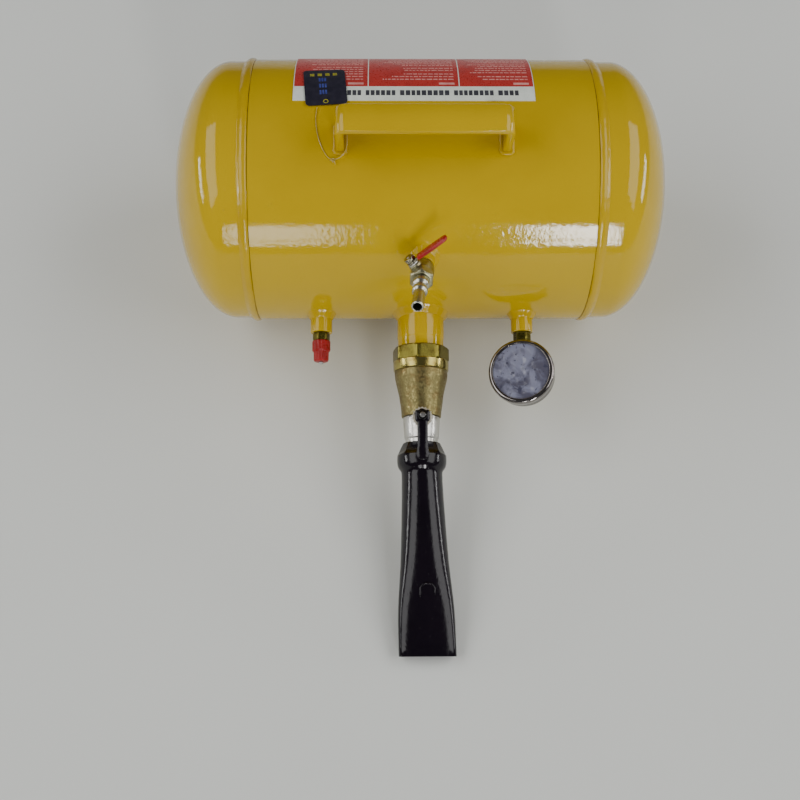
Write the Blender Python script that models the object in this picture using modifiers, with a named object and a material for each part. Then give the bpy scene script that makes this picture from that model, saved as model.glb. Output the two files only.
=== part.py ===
"""Bead seater blaster tank: a welded air tank with a carrying handle, a quick-opening ball valve with a
fan nozzle, a fill valve with a hose plug, a safety valve and a pressure gauge.

Metres, +Z up. The tank lies along X and is rolled forward until the lip of its nozzle, which points
along -Y, rests on the floor. Each fitting is drawn on a line of its own, an empty whose +Z points out
of the tank along the fitting, with heights measured from the tank's axis.
"""

from math import asin, atan2, cos, hypot, pi, radians, sin, tan

import bmesh
import bpy
from mathutils import Matrix, Vector

# ---------------------------------------------------------------- driving dimensions
TANK_R = 0.120
WALL = 0.003
SEAM_X = 0.1493
TANK_HALF = 0.226
HEAD_R = 0.1185
HEAD_DEPTH = 0.0545
LAP = 0.014
BEAD_R = 0.1215
BEAD_WIDTH = 0.0085
GAP = 0.0003
TANK_STEPS = 48

NOZZLE_END = 0.4293
MOUTH_HALF_WIDTH = 0.0252
MOUTH_HALF_HEIGHT = 0.0070
NOZZLE_LEAN = radians(1.3)

HANDLE_LENGTH = 0.148
HANDLE_WIDTH = 0.0247
HANDLE_TOP = 0.1612
HANDLE_THICK = 0.0070
HANDLE_BEND = 0.0095

NECK_R = 0.0214
NECK_BORE_R = 0.0176
NECK_END = 0.1526
STEM_AT = 0.2215
BALL_R = 0.0120
FLOW_R = 0.0080

BUSH_R = 0.0099
BUSH_BORE_R = 0.0068
BUSH_END = 0.1380
SHANK_R = 0.0065
SAFETY_X = -0.0913
GAUGE_X = 0.0933
GAUGE_TURN = radians(14)
GAUGE_AT = 0.1770

FILL_ANGLE = radians(50)
FILL_LEAN = radians(6)
FILL_X = 0.0140
FILL_BUSH_END = 0.1345
FILL_STEM_AT = 0.1435
FILL_STEM_TURN = radians(48)

# The tank's bead circles and the nozzle's lower lip touch the floor together.
ROLL = asin(BEAD_R / hypot(NOZZLE_END, MOUTH_HALF_HEIGHT)) - atan2(MOUTH_HALF_HEIGHT, NOZZLE_END)
NOZZLE_REACH = NOZZLE_END * cos(ROLL) + MOUTH_HALF_HEIGHT * sin(ROLL)
TANK_Y = (NOZZLE_REACH - BEAD_R) / 2

# ---------------------------------------------------------------- scene and helpers
for old in list(bpy.data.objects):
    bpy.data.objects.remove(old, do_unlink=True)

PARTS = bpy.data.collections.new("bead_seater_tank")
CUTTERS = bpy.data.collections.new("cutters")
bpy.context.scene.collection.children.link(PARTS)
bpy.context.scene.collection.children.link(CUTTERS)


def material(name, colour, roughness, metallic=0.0):
    made = bpy.data.materials.new(name)
    made.use_nodes = True
    shader = made.node_tree.nodes["Principled BSDF"]
    shader.inputs["Base Color"].default_value = (*colour, 1.0)
    shader.inputs["Roughness"].default_value = roughness
    shader.inputs["Metallic"].default_value = metallic
    return made


YELLOW = material("yellow_paint", (0.62, 0.38, 0.01), 0.25)
BRASS = material("brass", (0.55, 0.42, 0.17), 0.3, 1.0)
NICKEL = material("nickel", (0.62, 0.60, 0.56), 0.28, 1.0)
CHROME = material("chrome", (0.75, 0.75, 0.77), 0.08, 1.0)
BLACK_STEEL = material("black_paint", (0.012, 0.012, 0.014), 0.22)
RED_PLASTIC = material("red_plastic", (0.60, 0.02, 0.02), 0.35)
PTFE = material("ptfe", (0.82, 0.82, 0.80), 0.5)
STEEL = material("spring_steel", (0.45, 0.45, 0.46), 0.3, 1.0)
LABEL = material("printed_label", (0.60, 0.03, 0.03), 0.4)
DIAL_WHITE = material("dial_face", (0.80, 0.80, 0.80), 0.5)
CLEAR = material("clear_lens", (0.55, 0.55, 0.62), 0.1)
CARD = material("black_card", (0.02, 0.02, 0.03), 0.5)
NYLON = material("nylon_thread", (0.75, 0.72, 0.60), 0.3)


def empty(name, parent=None, location=(0, 0, 0), *turns):
    """An empty with its turns, (angle, axis) pairs, made one after another about its own axes."""
    made = bpy.data.objects.new(name, None)
    PARTS.objects.link(made)
    made.parent = parent
    matrix = Matrix.Translation(location)
    for angle, axis in turns:
        matrix = matrix @ Matrix.Rotation(angle, 4, axis)
    made.matrix_local = matrix
    return made


def place(mesh, name, line, look=None, z=0.0):
    """The mesh as a named object on a line. Without a look it is a cutter."""
    made = bpy.data.objects.new(name, mesh)
    (PARTS if look else CUTTERS).objects.link(made)
    made.parent = line
    made.location = (0, 0, z)
    if look:
        mesh.materials.append(look)
    else:
        made.hide_render = True
        made.display_type = "WIRE"
    return made


def mesh_of(bm, name, smooth=True):
    mesh = bpy.data.meshes.new(name)
    bm.to_mesh(mesh)
    bm.free()
    if smooth:
        mesh.shade_smooth()
        mesh.set_sharp_from_angle(angle=radians(35))
    return mesh


def turned(name, line, look, profile, steps=32):
    """A turned piece from (radius, height) points down its outer side. Ends off the axis close as a ring."""
    bm = bmesh.new()
    points = [bm.verts.new((radius, 0, height)) for radius, height in profile]
    ring = profile[0][0] > 0
    for first, second in zip(points, points[1:] + points[:1] if ring else points[1:]):
        bm.edges.new((first, second))
    made = place(mesh_of(bm, name, smooth=False), name, line, look)
    screw = made.modifiers.new("turn", "SCREW")
    screw.axis = "Z"
    screw.steps = steps
    screw.render_steps = steps
    screw.use_merge_vertices = True
    screw.merge_threshold = 0.00001
    screw.use_smooth_shade = True
    return made


def tube_ring(outer, inner, low, high):
    """The profile of a plain ring."""
    return [(outer, high), (outer, low), (inner, low), (inner, high)]


def prism(name, line, look, sides, flats, low, high, turn=0.0):
    """A regular bar with the given size across its flats."""
    bm = bmesh.new()
    radius = flats / 2 / cos(pi / sides)
    shape = Matrix.Translation((0, 0, (low + high) / 2)) @ Matrix.Rotation(turn, 4, "Z")
    bmesh.ops.create_cone(
        bm, cap_ends=True, segments=sides, radius1=radius, radius2=radius, depth=high - low, matrix=shape
    )
    return place(mesh_of(bm, name, smooth=False), name, line, look)


def box(name, line, look, size, centre, bevel=0.0):
    bm = bmesh.new()
    shape = Matrix.Translation(centre) @ Matrix.Diagonal((*size, 1))
    bmesh.ops.create_cube(bm, size=1, matrix=shape)
    made = place(mesh_of(bm, name, smooth=False), name, line, look)
    if bevel:
        rounding = made.modifiers.new("round", "BEVEL")
        rounding.width = bevel
        rounding.segments = 2
    return made


def boolean(target, tool, operation):
    change = target.modifiers.new(operation.lower(), "BOOLEAN")
    change.operation = operation
    change.object = tool
    return target


def cut(target, *tools):
    for tool in tools:
        boolean(target, tool, "DIFFERENCE")
    return target


def join(target, *tools):
    for tool in tools:
        boolean(target, tool, "UNION")
    return target


def rod(name, line, radius, low, high, steps=24):
    """A plain round cutter on a line."""
    return turned(name, line, None, [(0, high), (radius, high), (radius, low), (0, low)], steps)


def nut(name, line, look, flats, bore, low, high, turn=0.0):
    """A hexagon nut with chamfered corners and a plain bore."""
    made = prism(name, line, look, 6, flats, low, high, turn)
    corner = flats / 2 / cos(pi / 6)
    drop = (corner - flats / 2) * 0.6
    top = [(0, high), (flats / 2, high), (corner, high - drop)]
    bottom = [(corner, low + drop), (flats / 2, low), (0, low)]
    boolean(made, turned(name + "_chamfer", line, None, top + bottom, 12), "INTERSECT")
    return cut(made, rod(name + "_bore", line, bore, low - 0.001, high + 0.001, 12))


def outline_plate(name, line, look, outlines, low, high):
    """A flat plate from closed 2D outlines; every outline after the first is a hole."""
    curve = bpy.data.curves.new(name, "CURVE")
    curve.dimensions = "2D"
    curve.fill_mode = "BOTH"
    curve.extrude = (high - low) / 2
    for outline in outlines:
        spline = curve.splines.new("POLY")
        spline.points.add(len(outline) - 1)
        for point, (x, y) in zip(spline.points, outline):
            point.co = (x, y, 0, 1)
        spline.use_cyclic_u = True
    shape = bpy.data.objects.new(name + "_outline", curve)
    CUTTERS.objects.link(shape)
    mesh = bpy.data.meshes.new_from_object(shape.evaluated_get(bpy.context.evaluated_depsgraph_get()))
    bpy.data.objects.remove(shape)
    bm = bmesh.new()
    bm.from_mesh(mesh)
    bmesh.ops.remove_doubles(bm, verts=bm.verts, dist=0.000001)
    bmesh.ops.recalc_face_normals(bm, faces=bm.faces)
    bpy.data.meshes.remove(mesh)
    return place(mesh_of(bm, name, smooth=False), name, line, look, (low + high) / 2)


def wire(name, line, look, points, radius):
    """A round wire or tube along the points, with closed ends."""
    curve = bpy.data.curves.new(name, "CURVE")
    curve.dimensions = "3D"
    curve.bevel_depth = radius
    curve.bevel_resolution = 2
    curve.use_fill_caps = True
    spline = curve.splines.new("POLY")
    spline.points.add(len(points) - 1)
    for point, place_at in zip(spline.points, points):
        point.co = (*place_at, 1)
    return place(curve, name, line, look)


def arc(centre, radius, start, end, count):
    """Points on an arc, its angles in degrees, both ends included."""
    x, y = centre
    angles = [radians(start + (end - start) * i / (count - 1)) for i in range(count)]
    return [(x + radius * cos(a), y + radius * sin(a)) for a in angles]


def circle(centre, radius, count=20):
    return arc(centre, radius, 0, 360 * (count - 1) / count, count)


# ---------------------------------------------------------------- lines that the fittings stand on
TANK = empty("tank_axis", None, (0, TANK_Y, BEAD_R), (ROLL, "X"))
RIGHT = empty("line_right", TANK, (0, 0, 0), (pi / 2, "Y"))
LEFT = empty("line_left", TANK, (0, 0, 0), (-pi / 2, "Y"))
NECK = empty("line_neck", TANK, (0, 0, 0), (pi / 2, "X"))
SAFETY = empty("line_safety", TANK, (SAFETY_X, 0, 0), (pi / 2, "X"))
GAUGE = empty("line_gauge", TANK, (GAUGE_X, 0, 0), (pi / 2, "X"), (GAUGE_TURN, "Z"))
FILL = empty("line_fill", TANK, (FILL_X, 0, 0), (FILL_ANGLE, "X"), (-FILL_LEAN, "Y"))
MAIN_STEM = empty("line_main_stem", NECK, (0, 0, STEM_AT), (-pi / 2, "X"))
FILL_STEM = empty("line_fill_stem", FILL, (0, 0, FILL_STEM_AT), (pi - FILL_STEM_TURN, "Z"), (pi / 2, "Y"))
DIAL = empty("line_dial", GAUGE, (0, 0, GAUGE_AT), (-pi / 2, "X"))

TANK_CUTTER = rod("tank_cutter", RIGHT, TANK_R + GAP, -0.2, 0.2, TANK_STEPS)


# ---------------------------------------------------------------- tank
def make_shell():
    profile = tube_ring(TANK_R, TANK_R - WALL, -SEAM_X, SEAM_X)
    shell = turned("tank_shell", RIGHT, YELLOW, profile, TANK_STEPS)
    for name, line, radius in (
        ("neck_hole", NECK, NECK_R),
        ("safety_hole", SAFETY, BUSH_R),
        ("gauge_hole", GAUGE, BUSH_R),
        ("fill_hole", FILL, BUSH_R),
    ):
        cut(shell, rod(name, line, radius + GAP, 0.09, 0.14, 24))


def quarter_turn(count):
    """Angles from the head's middle out to its flange."""
    return [pi / 2 * (1 - i / count) for i in range(count + 1)]


def head_profile():
    """A semi-ellipsoid head with a straight flange, stepped in where it laps inside the shell."""
    flange = TANK_HALF - HEAD_DEPTH
    lap_r = TANK_R - WALL - GAP
    outer = [(HEAD_R * cos(a), flange + HEAD_DEPTH * sin(a)) for a in quarter_turn(7)]
    inner_depth = HEAD_DEPTH - WALL
    inner = [((HEAD_R - WALL) * cos(a), flange + inner_depth * sin(a)) for a in reversed(quarter_turn(4))]
    step = [
        (HEAD_R, SEAM_X + 0.0026),
        (lap_r, SEAM_X + 0.0004),
        (lap_r, SEAM_X - LAP),
        (lap_r - WALL, SEAM_X - LAP),
        (lap_r - WALL, SEAM_X + 0.0004),
        (HEAD_R - WALL, SEAM_X + 0.0026),
    ]
    outer[0] = (0, TANK_HALF)
    inner[-1] = (0, TANK_HALF - WALL)
    return outer + step + inner


def make_heads():
    bead = [
        (BEAD_R, SEAM_X + BEAD_WIDTH * 0.35),
        (BEAD_R, SEAM_X + GAP),
        (HEAD_R + GAP, SEAM_X + GAP),
        (HEAD_R + GAP, SEAM_X + BEAD_WIDTH),
        (BEAD_R - 0.0008, SEAM_X + BEAD_WIDTH * 0.75),
    ]
    for side, line in (("left", LEFT), ("right", RIGHT)):
        turned("head_" + side, line, YELLOW, head_profile(), TANK_STEPS)
        turned("weld_bead_" + side, line, YELLOW, bead, TANK_STEPS)


def make_handle():
    """A flat bar bent to a U, standing on the top of the shell, with a weld bead round each foot."""
    half = HANDLE_LENGTH / 2
    foot = TANK_R - 0.004
    inner_bend = HANDLE_BEND - HANDLE_THICK
    corner = (half - HANDLE_BEND, HANDLE_TOP - HANDLE_BEND)
    right_outer = [(half, foot)] + arc(corner, HANDLE_BEND, 0, 90, 7)
    right_inner = arc(corner, inner_bend, 90, 0, 4) + [(half - HANDLE_THICK, foot)]
    mirrored = [(-x, y) for x, y in reversed(right_outer)]
    mirrored_inner = [(-x, y) for x, y in reversed(right_inner)]
    outline = right_outer + mirrored + mirrored_inner + right_inner
    side = empty("line_handle", TANK, (0, 0, 0), (pi / 2, "X"))
    handle = outline_plate("handle", side, YELLOW, [outline], -HANDLE_WIDTH / 2, HANDLE_WIDTH / 2)
    cut(handle, TANK_CUTTER)
    for name, x in (("left", -half + HANDLE_THICK / 2), ("right", half - HANDLE_THICK / 2)):
        size = (HANDLE_THICK + 0.0080, HANDLE_WIDTH + 0.0080, 0.0070)
        weld = box("handle_weld_" + name, TANK, YELLOW, size, (x, 0, TANK_R + 0.0003), 0.0030)
        leg_size = (HANDLE_THICK + 2 * GAP, HANDLE_WIDTH + 2 * GAP, 0.03)
        leg = box("handle_leg_cutter_" + name, TANK, None, leg_size, (x, 0, TANK_R))
        cut(weld, TANK_CUTTER, leg)


def make_port(name, line, end):
    """A threaded bushing welded into the shell, and its weld fillet."""
    profile = [
        (BUSH_R - 0.0004, end),
        (BUSH_R, end - 0.0006),
        (BUSH_R, 0.1130),
        (BUSH_BORE_R, 0.1130),
        (BUSH_BORE_R, end),
    ]
    turned(name + "_bushing", line, YELLOW, profile, 20)
    fillet = [
        (BUSH_R + GAP, 0.1262),
        (BUSH_R + 0.0009, 0.1256),
        (BUSH_R + 0.0036, 0.1206),
        (BUSH_R + 0.0036, 0.1180),
        (BUSH_R + GAP, 0.1180),
    ]
    cut(turned(name + "_bushing_weld", line, YELLOW, fillet, 20), TANK_CUTTER)


def make_neck():
    thread_r = NECK_R - 0.0006
    profile = [
        (thread_r - 0.0005, 0.1685),
        (thread_r, 0.1680),
        (thread_r, NECK_END),
        (NECK_R, NECK_END),
        (NECK_R, 0.1120),
        (NECK_BORE_R, 0.1120),
        (NECK_BORE_R, 0.1685),
    ]
    turned("neck_pipe", NECK, YELLOW, profile, 28)
    fillet = [
        (NECK_R + GAP, 0.1275),
        (NECK_R + 0.0010, 0.1268),
        (NECK_R + 0.0044, 0.1215),
        (NECK_R + 0.0050, 0.1160),
        (NECK_R + GAP, 0.1160),
    ]
    cut(turned("neck_weld", NECK, YELLOW, fillet, 28), TANK_CUTTER)


def make_label():
    """A printed label that lies on the back of the shell's top, as a thin curved sheet."""
    left, right = -0.1118, 0.0967
    low_angle, high_angle = radians(18), radians(76)
    inner = TANK_R + GAP
    outer = inner + 0.0004
    count = 16
    angles = [low_angle + (high_angle - low_angle) * i / (count - 1) for i in range(count)]
    outline = [(outer * sin(a), outer * cos(a)) for a in angles]
    outline += [(inner * sin(a), inner * cos(a)) for a in reversed(angles)]
    ends = empty("line_label", TANK, (0, 0, 0), (pi / 2, "Z"), (pi / 2, "X"))
    outline_plate("label", ends, LABEL, [outline], left, right)


# ---------------------------------------------------------------- main valve and nozzle
def ball_profile(radius, bore, count):
    """A ball with a through bore along its line, as a ring that is closed through the bore."""
    top = asin(bore / radius)
    angles = [top + (pi - 2 * top) * i / count for i in range(count + 1)]
    return [(radius * sin(a), radius * cos(a)) for a in angles]


def seat_profile(ball, bore, outer, length):
    """A ring whose inner edge follows the ball with a small clearance; height runs away from the ball."""
    reach = ball + 0.00025
    wide = ball * 0.84
    touch = (reach * reach - wide * wide) ** 0.5
    narrow = (reach * reach - bore * bore) ** 0.5
    return [(outer, length), (outer, touch), (wide, touch), (bore, narrow), (bore, length)]


def make_valve_core(name, flow, stem, at, ball, bore, chamber, lengths, tang, steps):
    """The ball, its bore in line with the lever, and its two seats. The stem's tang turns it by a slot."""
    ball_line = empty("line_" + name + "_ball", stem, (0, 0, 0), (pi / 2, "X"))
    made = turned(name + "_ball", ball_line, CHROME, ball_profile(ball, bore, 8), steps)
    width, depth = tang
    slot = box(name + "_slot", stem, None, (ball * 3, width + 0.0002, 0.01), (0, 0, depth + 0.005))
    cut(made, slot)
    for side, turn, length in (("inner", pi, lengths[0]), ("outer", 0, lengths[1])):
        seat_line = empty("line_" + name + "_seat_" + side, flow, (0, 0, at), (turn, "X"))
        profile = seat_profile(ball, bore + 0.0003, chamber - GAP, length)
        turned(name + "_seat_" + side, seat_line, PTFE, profile, steps)


def make_inlet_end():
    """The octagonal brass end that screws on the neck and tapers down to the valve body."""
    octagon_end = 0.1746
    end = 0.2173
    taper = [
        (0.0179, end),
        (0.0182, 0.2120),
        (0.0192, 0.2055),
        (0.0203, 0.1970),
        (0.0222, 0.1885),
        (0.0247, 0.1800),
        (0.0250, 0.1700),
        (0, 0.1700),
    ]
    made = prism("main_inlet_end", NECK, BRASS, 8, 0.0515, NECK_END + GAP, octagon_end, radians(14))
    corner = 0.0515 / 2 / cos(pi / 8)
    rounding = [
        (0, octagon_end),
        (0.0248, octagon_end),
        (corner, octagon_end - 0.0035),
        (corner, NECK_END + 0.0018),
        (0.0250, NECK_END + GAP),
        (0, NECK_END + GAP),
    ]
    boolean(made, turned("inlet_rounding", NECK, None, rounding, 24), "INTERSECT")
    join(made, turned("inlet_taper", NECK, None, [(0, end)] + taper, 24))
    bore = [
        (0, end + 0.001),
        (0.0149, end + 0.001),
        (0.0149, 0.2052),
        (FLOW_R, 0.2052),
        (FLOW_R, 0.1900),
        (0.0172, 0.1760),
        (0.0172, 0.1690),
        (NECK_R, 0.1690),
        (NECK_R, 0.1500),
        (0, 0.1500),
    ]
    cut(made, turned("inlet_bore", NECK, None, bore, 24))
    cut(made, rod("boss_clearance", MAIN_STEM, 0.0076, 0.010, 0.030, 32))


def make_valve_body():
    """The nickelled body that holds the ball, with the stem's boss on its top."""
    chamber = 0.0129
    outer = [
        (0.0140, 0.2520),
        (0.0145, 0.2515),
        (0.0145, 0.2376),
        (0.0154, 0.2370),
        (0.0161, 0.2280),
        (0.0164, 0.2178),
        (0.0146, 0.2176),
        (0.0146, 0.2056),
    ]
    inner = [(chamber, 0.2056), (chamber, 0.2334), (FLOW_R, 0.2334), (FLOW_R, 0.2520)]
    made = turned("main_valve_body", NECK, NICKEL, outer + inner, 24)
    # The boss starts inside the wall, so that it joins the body and leaves the chamber open.
    boss = rod("boss", MAIN_STEM, 0.0072, 0.0135, 0.0242, 24)
    join(made, boss)
    packing_box = [(0, 0.030), (0.0055, 0.030), (0.0055, 0.0185)]
    stem_bore = packing_box + [(0.00355, 0.0185), (0.00355, 0.005), (0, 0.005)]
    cut(made, turned("stem_bore", MAIN_STEM, None, stem_bore, 24))
    turned("main_packing", MAIN_STEM, PTFE, tube_ring(0.0052, 0.0037, 0.0188, 0.0238), 24)
    nut("main_gland_nut", MAIN_STEM, BLACK_STEEL, 0.0130, 0.0037, 0.0245, 0.0290, radians(10))


def make_main_lever():
    """The stem, the short black lever in line with the open bore, and the nut that holds it."""
    stem_r = 0.0035
    stem = turned(
        "main_stem",
        MAIN_STEM,
        STEEL,
        [
            (0, 0.0368),
            (0.0021, 0.0368),
            (0.0024, 0.0365),
            (0.0024, 0.0293),
            (stem_r, 0.0293),
            (stem_r, 0.0122),
            (0, 0.0122),
        ],
        24,
    )
    tang = (0.0030, 0.0086)
    flat = box("main_tang", MAIN_STEM, None, (2 * stem_r, tang[0], 0.0040), (0, 0, 0.0109))
    boolean(flat, rod("main_tang_round", MAIN_STEM, stem_r - 0.0001, 0.008, 0.0126, 24), "INTERSECT")
    join(stem, flat)
    make_valve_core(
        "main", NECK, MAIN_STEM, STEM_AT, BALL_R, FLOW_R, 0.0129, (0.0155, 0.0116), tang, 24
    )
    eye_r = 0.0066
    strip = 0.0046
    tip = 0.0395
    meet = -((eye_r * eye_r - strip * strip) ** 0.5)
    start = 270 + 45
    outline = arc((0, 0), eye_r, start, start + 270, 22)[1:-1]
    outline += [(-strip, meet - 0.001), (-strip, -0.030), (-0.0058, -0.033)]
    outline += arc((0, -tip + 0.0058), 0.0058, 180, 360, 9)
    outline += [(0.0058, -0.033), (strip, -0.030), (strip, meet - 0.001)]
    holes = circle((0, 0), 0.0027, 16)
    lever = outline_plate("main_lever", MAIN_STEM, BLACK_STEEL, [outline, holes], 0.0296, 0.0320)
    rounding = lever.modifiers.new("round", "BEVEL")
    rounding.width = 0.0004
    rounding.segments = 1
    nut("main_lever_nut", MAIN_STEM, STEEL, 0.0080, 0.0027, 0.0323, 0.0360, radians(20))


def nozzle_ring(bm, z, half_width, half_height, power, count=24):
    """One ring of the nozzle, a circle where the power is 2 and a rounded slot where it is more."""
    shift = max(0.0, z - 0.2680) * tan(NOZZLE_LEAN)
    ring = []
    for i in range(count):
        a = 2 * pi * i / count
        x = half_width * abs(cos(a)) ** (2 / power) * (1 if cos(a) >= 0 else -1)
        y = half_height * abs(sin(a)) ** (2 / power) * (1 if sin(a) >= 0 else -1)
        ring.append(bm.verts.new((x + shift, y, z)))
    return ring


def make_nozzle():
    """A round hub that screws on the valve, and a tube that flattens into a fan with a slot mouth."""
    wall = 0.0022
    hub = [
        (0.2412, 0.0168),
        (0.2510, 0.0216),
        (0.2570, 0.0223),
        (0.2625, 0.0216),
        (0.2670, 0.0187),
    ]
    fan = [
        (0.2740, 0.0184, 0.0184, 2.0),
        (0.3050, 0.0194, 0.0172, 2.1),
        (0.3350, 0.0207, 0.0155, 2.2),
        (0.3600, 0.0224, 0.0133, 2.4),
        (0.3800, 0.0242, 0.0110, 2.7),
        (0.4000, 0.0251, 0.0092, 2.95),
        (NOZZLE_END, MOUTH_HALF_WIDTH, MOUTH_HALF_HEIGHT, 3.2),
    ]
    bore = [(0.2412, 0.0148), (0.2545, 0.0148), (0.2550, 0.0130), (0.2640, 0.0135)]
    bm = bmesh.new()
    rings = [nozzle_ring(bm, z, r, r, 2.0) for z, r in hub]
    rings += [nozzle_ring(bm, *section) for section in fan]
    rings += [nozzle_ring(bm, z, w - wall, h - wall, p) for z, w, h, p in reversed(fan)]
    rings += [nozzle_ring(bm, z, r, r, 2.0) for z, r in reversed(bore)]
    for ring, following in zip(rings, rings[1:] + rings[:1]):
        for i in range(len(ring)):
            j = (i + 1) % len(ring)
            bm.faces.new((ring[i], ring[j], following[j], following[i]))
    bmesh.ops.recalc_face_normals(bm, faces=bm.faces)
    place(mesh_of(bm, "nozzle"), "nozzle", NECK, BLACK_STEEL)


# ---------------------------------------------------------------- fill valve and hose plug
def make_fill_valve():
    chamber = 0.0066
    bore = 0.0030
    body = turned(
        "fill_valve_body",
        FILL,
        NICKEL,
        [
            (0.0086, 0.1573),
            (0.0093, 0.1566),
            (0.0093, 0.1355),
            (0.0086, FILL_BUSH_END + GAP),
            (SHANK_R, FILL_BUSH_END + GAP),
            (SHANK_R, 0.1240),
            (bore, 0.1240),
            (bore, 0.1370),
            (chamber, 0.1370),
            (chamber, 0.1573),
        ],
        20,
    )
    # The hexagon is a ring too, so that the union leaves the bore open.
    hexagon = prism("fill_hexagon", FILL, None, 6, 0.0190, 0.1495, 0.1568)
    cut(hexagon, rod("fill_hexagon_bore", FILL, chamber + 0.001, 0.14, 0.16, 24))
    boss = rod("fill_boss", FILL_STEM, 0.0050, 0.0074, 0.0112, 20)
    join(body, hexagon, boss)
    cut(body, rod("fill_stem_bore", FILL_STEM, 0.00215, 0.003, 0.02, 16))
    stem_r = 0.00205
    stem = turned(
        "fill_stem",
        FILL_STEM,
        STEEL,
        [
            (0, 0.0190),
            (0.0014, 0.0190),
            (0.0016, 0.0188),
            (0.0016, 0.0130),
            (stem_r, 0.0130),
            (stem_r, 0.0062),
            (0, 0.0062),
        ],
        16,
    )
    tang = (0.0016, 0.0042)
    flat = box("fill_tang", FILL_STEM, None, (0.0034, tang[0], 0.0021), (0, 0, 0.00555))
    join(stem, flat)
    make_valve_core(
        "fill", FILL, FILL_STEM, FILL_STEM_AT, 0.0060, bore, chamber, (0.0062, 0.0065), tang, 16
    )
    turned("fill_washer", FILL_STEM, BRASS, tube_ring(0.0049, 0.0023, 0.0115, 0.0127), 20)
    eye_r = 0.0046
    strip = 0.0021
    start = 270 + 30
    outline = arc((0, 0), eye_r, start, start + 300, 18)
    outline += [(-strip, -0.0390), (strip, -0.0390)]
    holes = circle((0, 0), 0.0019, 12)
    outline_plate("fill_lever", FILL_STEM, NICKEL, [outline, holes], 0.0130, 0.0144)
    nut("fill_lever_nut", FILL_STEM, NICKEL, 0.0088, 0.0019, 0.0147, 0.0183, radians(8))
    make_sleeve()
    make_plug()


def make_sleeve():
    """The soft red sleeve over the fill lever, closed at its tip."""
    size = (0.0068, 0.0332, 0.0040)
    sleeve = box("fill_lever_sleeve", FILL_STEM, RED_PLASTIC, size, (0, -0.0238, 0.0137), 0.0014)
    pocket = box("fill_sleeve_pocket", FILL_STEM, None, (0.0048, 0.0328, 0.0020), (0, -0.0230, 0.0137))
    cut(sleeve, pocket)


def make_plug():
    """The ribbed quick plug that the air hose snaps on to."""
    profile = [
        (0.0046, 0.1968),
        (0.0052, 0.1962),
        (0.0052, 0.1800),
        (0.0049, 0.1790),
        (0.0049, 0.1765),
        (0.0066, 0.1745),
        (0.0066, 0.1712),
        (0.0050, 0.1690),
        (0.0050, 0.1660),
        (0.0068, 0.1645),
        (0.0072, 0.1635),
        (0.0072, 0.1585),
        (0.0068, 0.1576),
        (0.0063, 0.1576),
        (0.0063, 0.1504),
        (0.0038, 0.1504),
        (0.0038, 0.1968),
    ]
    turned("hose_plug", FILL, NICKEL, profile, 16)


# ---------------------------------------------------------------- safety valve
def make_safety_valve():
    seat = 0.1470
    body = turned(
        "safety_body",
        SAFETY,
        BRASS,
        [
            (0.0050, 0.1530),
            (0.0050, BUSH_END + GAP),
            (SHANK_R, BUSH_END + GAP),
            (SHANK_R, 0.1262),
            (0.0020, 0.1262),
            (0.0020, seat),
            (0.0042, seat),
            (0.0042, 0.1530),
        ],
        24,
    )
    hexagon = prism("safety_hexagon", SAFETY, None, 6, 0.0138, BUSH_END + GAP, 0.1455, radians(20))
    cut(hexagon, rod("safety_hexagon_bore", SAFETY, 0.0046, 0.13, 0.15, 24))
    join(body, hexagon)
    turned(
        "safety_poppet",
        SAFETY,
        STEEL,
        [
            (0, 0.1670),
            (0.0016, 0.1670),
            (0.0022, 0.1664),
            (0.0022, 0.1655),
            (0.0013, 0.1650),
            (0.0013, seat + 0.0023),
            (0.0038, seat + 0.0023),
            (0.0038, seat + 0.0003),
            (0, seat + 0.0003),
        ],
        20,
    )
    cap = [
        (0.0060, 0.1648),
        (0.0067, 0.1641),
        (0.0069, 0.1556),
        (0.0082, 0.1552),
        (0.0083, 0.1458),
        (0.0053, 0.1458),
        (0.0053, 0.1534),
        (0.0042, 0.1536),
        (0.0042, 0.1622),
        (0.00138, 0.1622),
        (0.00138, 0.1648),
    ]
    turned("safety_cap", SAFETY, RED_PLASTIC, cap, 20)
    low, high, turns, radius = seat + 0.0031, 0.1615, 4, 0.0030
    steps = turns * 8
    coil = []
    for i in range(steps + 1):
        a = 2 * pi * turns * i / steps
        coil.append((radius * cos(a), radius * sin(a), low + (high - low) * i / steps))
    wire("safety_spring", SAFETY, STEEL, coil, 0.00035)


# ---------------------------------------------------------------- pressure gauge
MODULE = 0.00035
PINION_TEETH = 10
SECTOR_TEETH = 80
PINION_PITCH_R = MODULE * PINION_TEETH / 2
SECTOR_PITCH_R = MODULE * SECTOR_TEETH / 2
SECTOR_AT = PINION_PITCH_R + SECTOR_PITCH_R
SECTOR_SWING = 33.75
TAIL = 0.0050


def involute(angle):
    return tan(angle) - angle


def tooth_half_angle(pitch_r, teeth, r):
    """Half the angle that one tooth covers at radius r, with some backlash."""
    pressure = radians(20)
    base = pitch_r * cos(pressure)
    at = involute(atan2((max(r, base) ** 2 - base ** 2) ** 0.5, base))
    return pi / teeth * 0.5 * 0.86 + involute(pressure) - at


def tooth_points(pitch_r, teeth, centre):
    """The outline of one tooth about its centre angle, from its root on one side to the other."""
    root = pitch_r - 1.15 * MODULE
    tip = pitch_r + 0.75 * MODULE
    radii = [root, pitch_r, tip]
    side = [(r, tooth_half_angle(pitch_r, teeth, r)) for r in radii]
    left = [(r, centre - half) for r, half in side]
    right = [(r, centre + half) for r, half in reversed(side)]
    return [(r * cos(a), r * sin(a)) for r, a in left + right]


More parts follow.
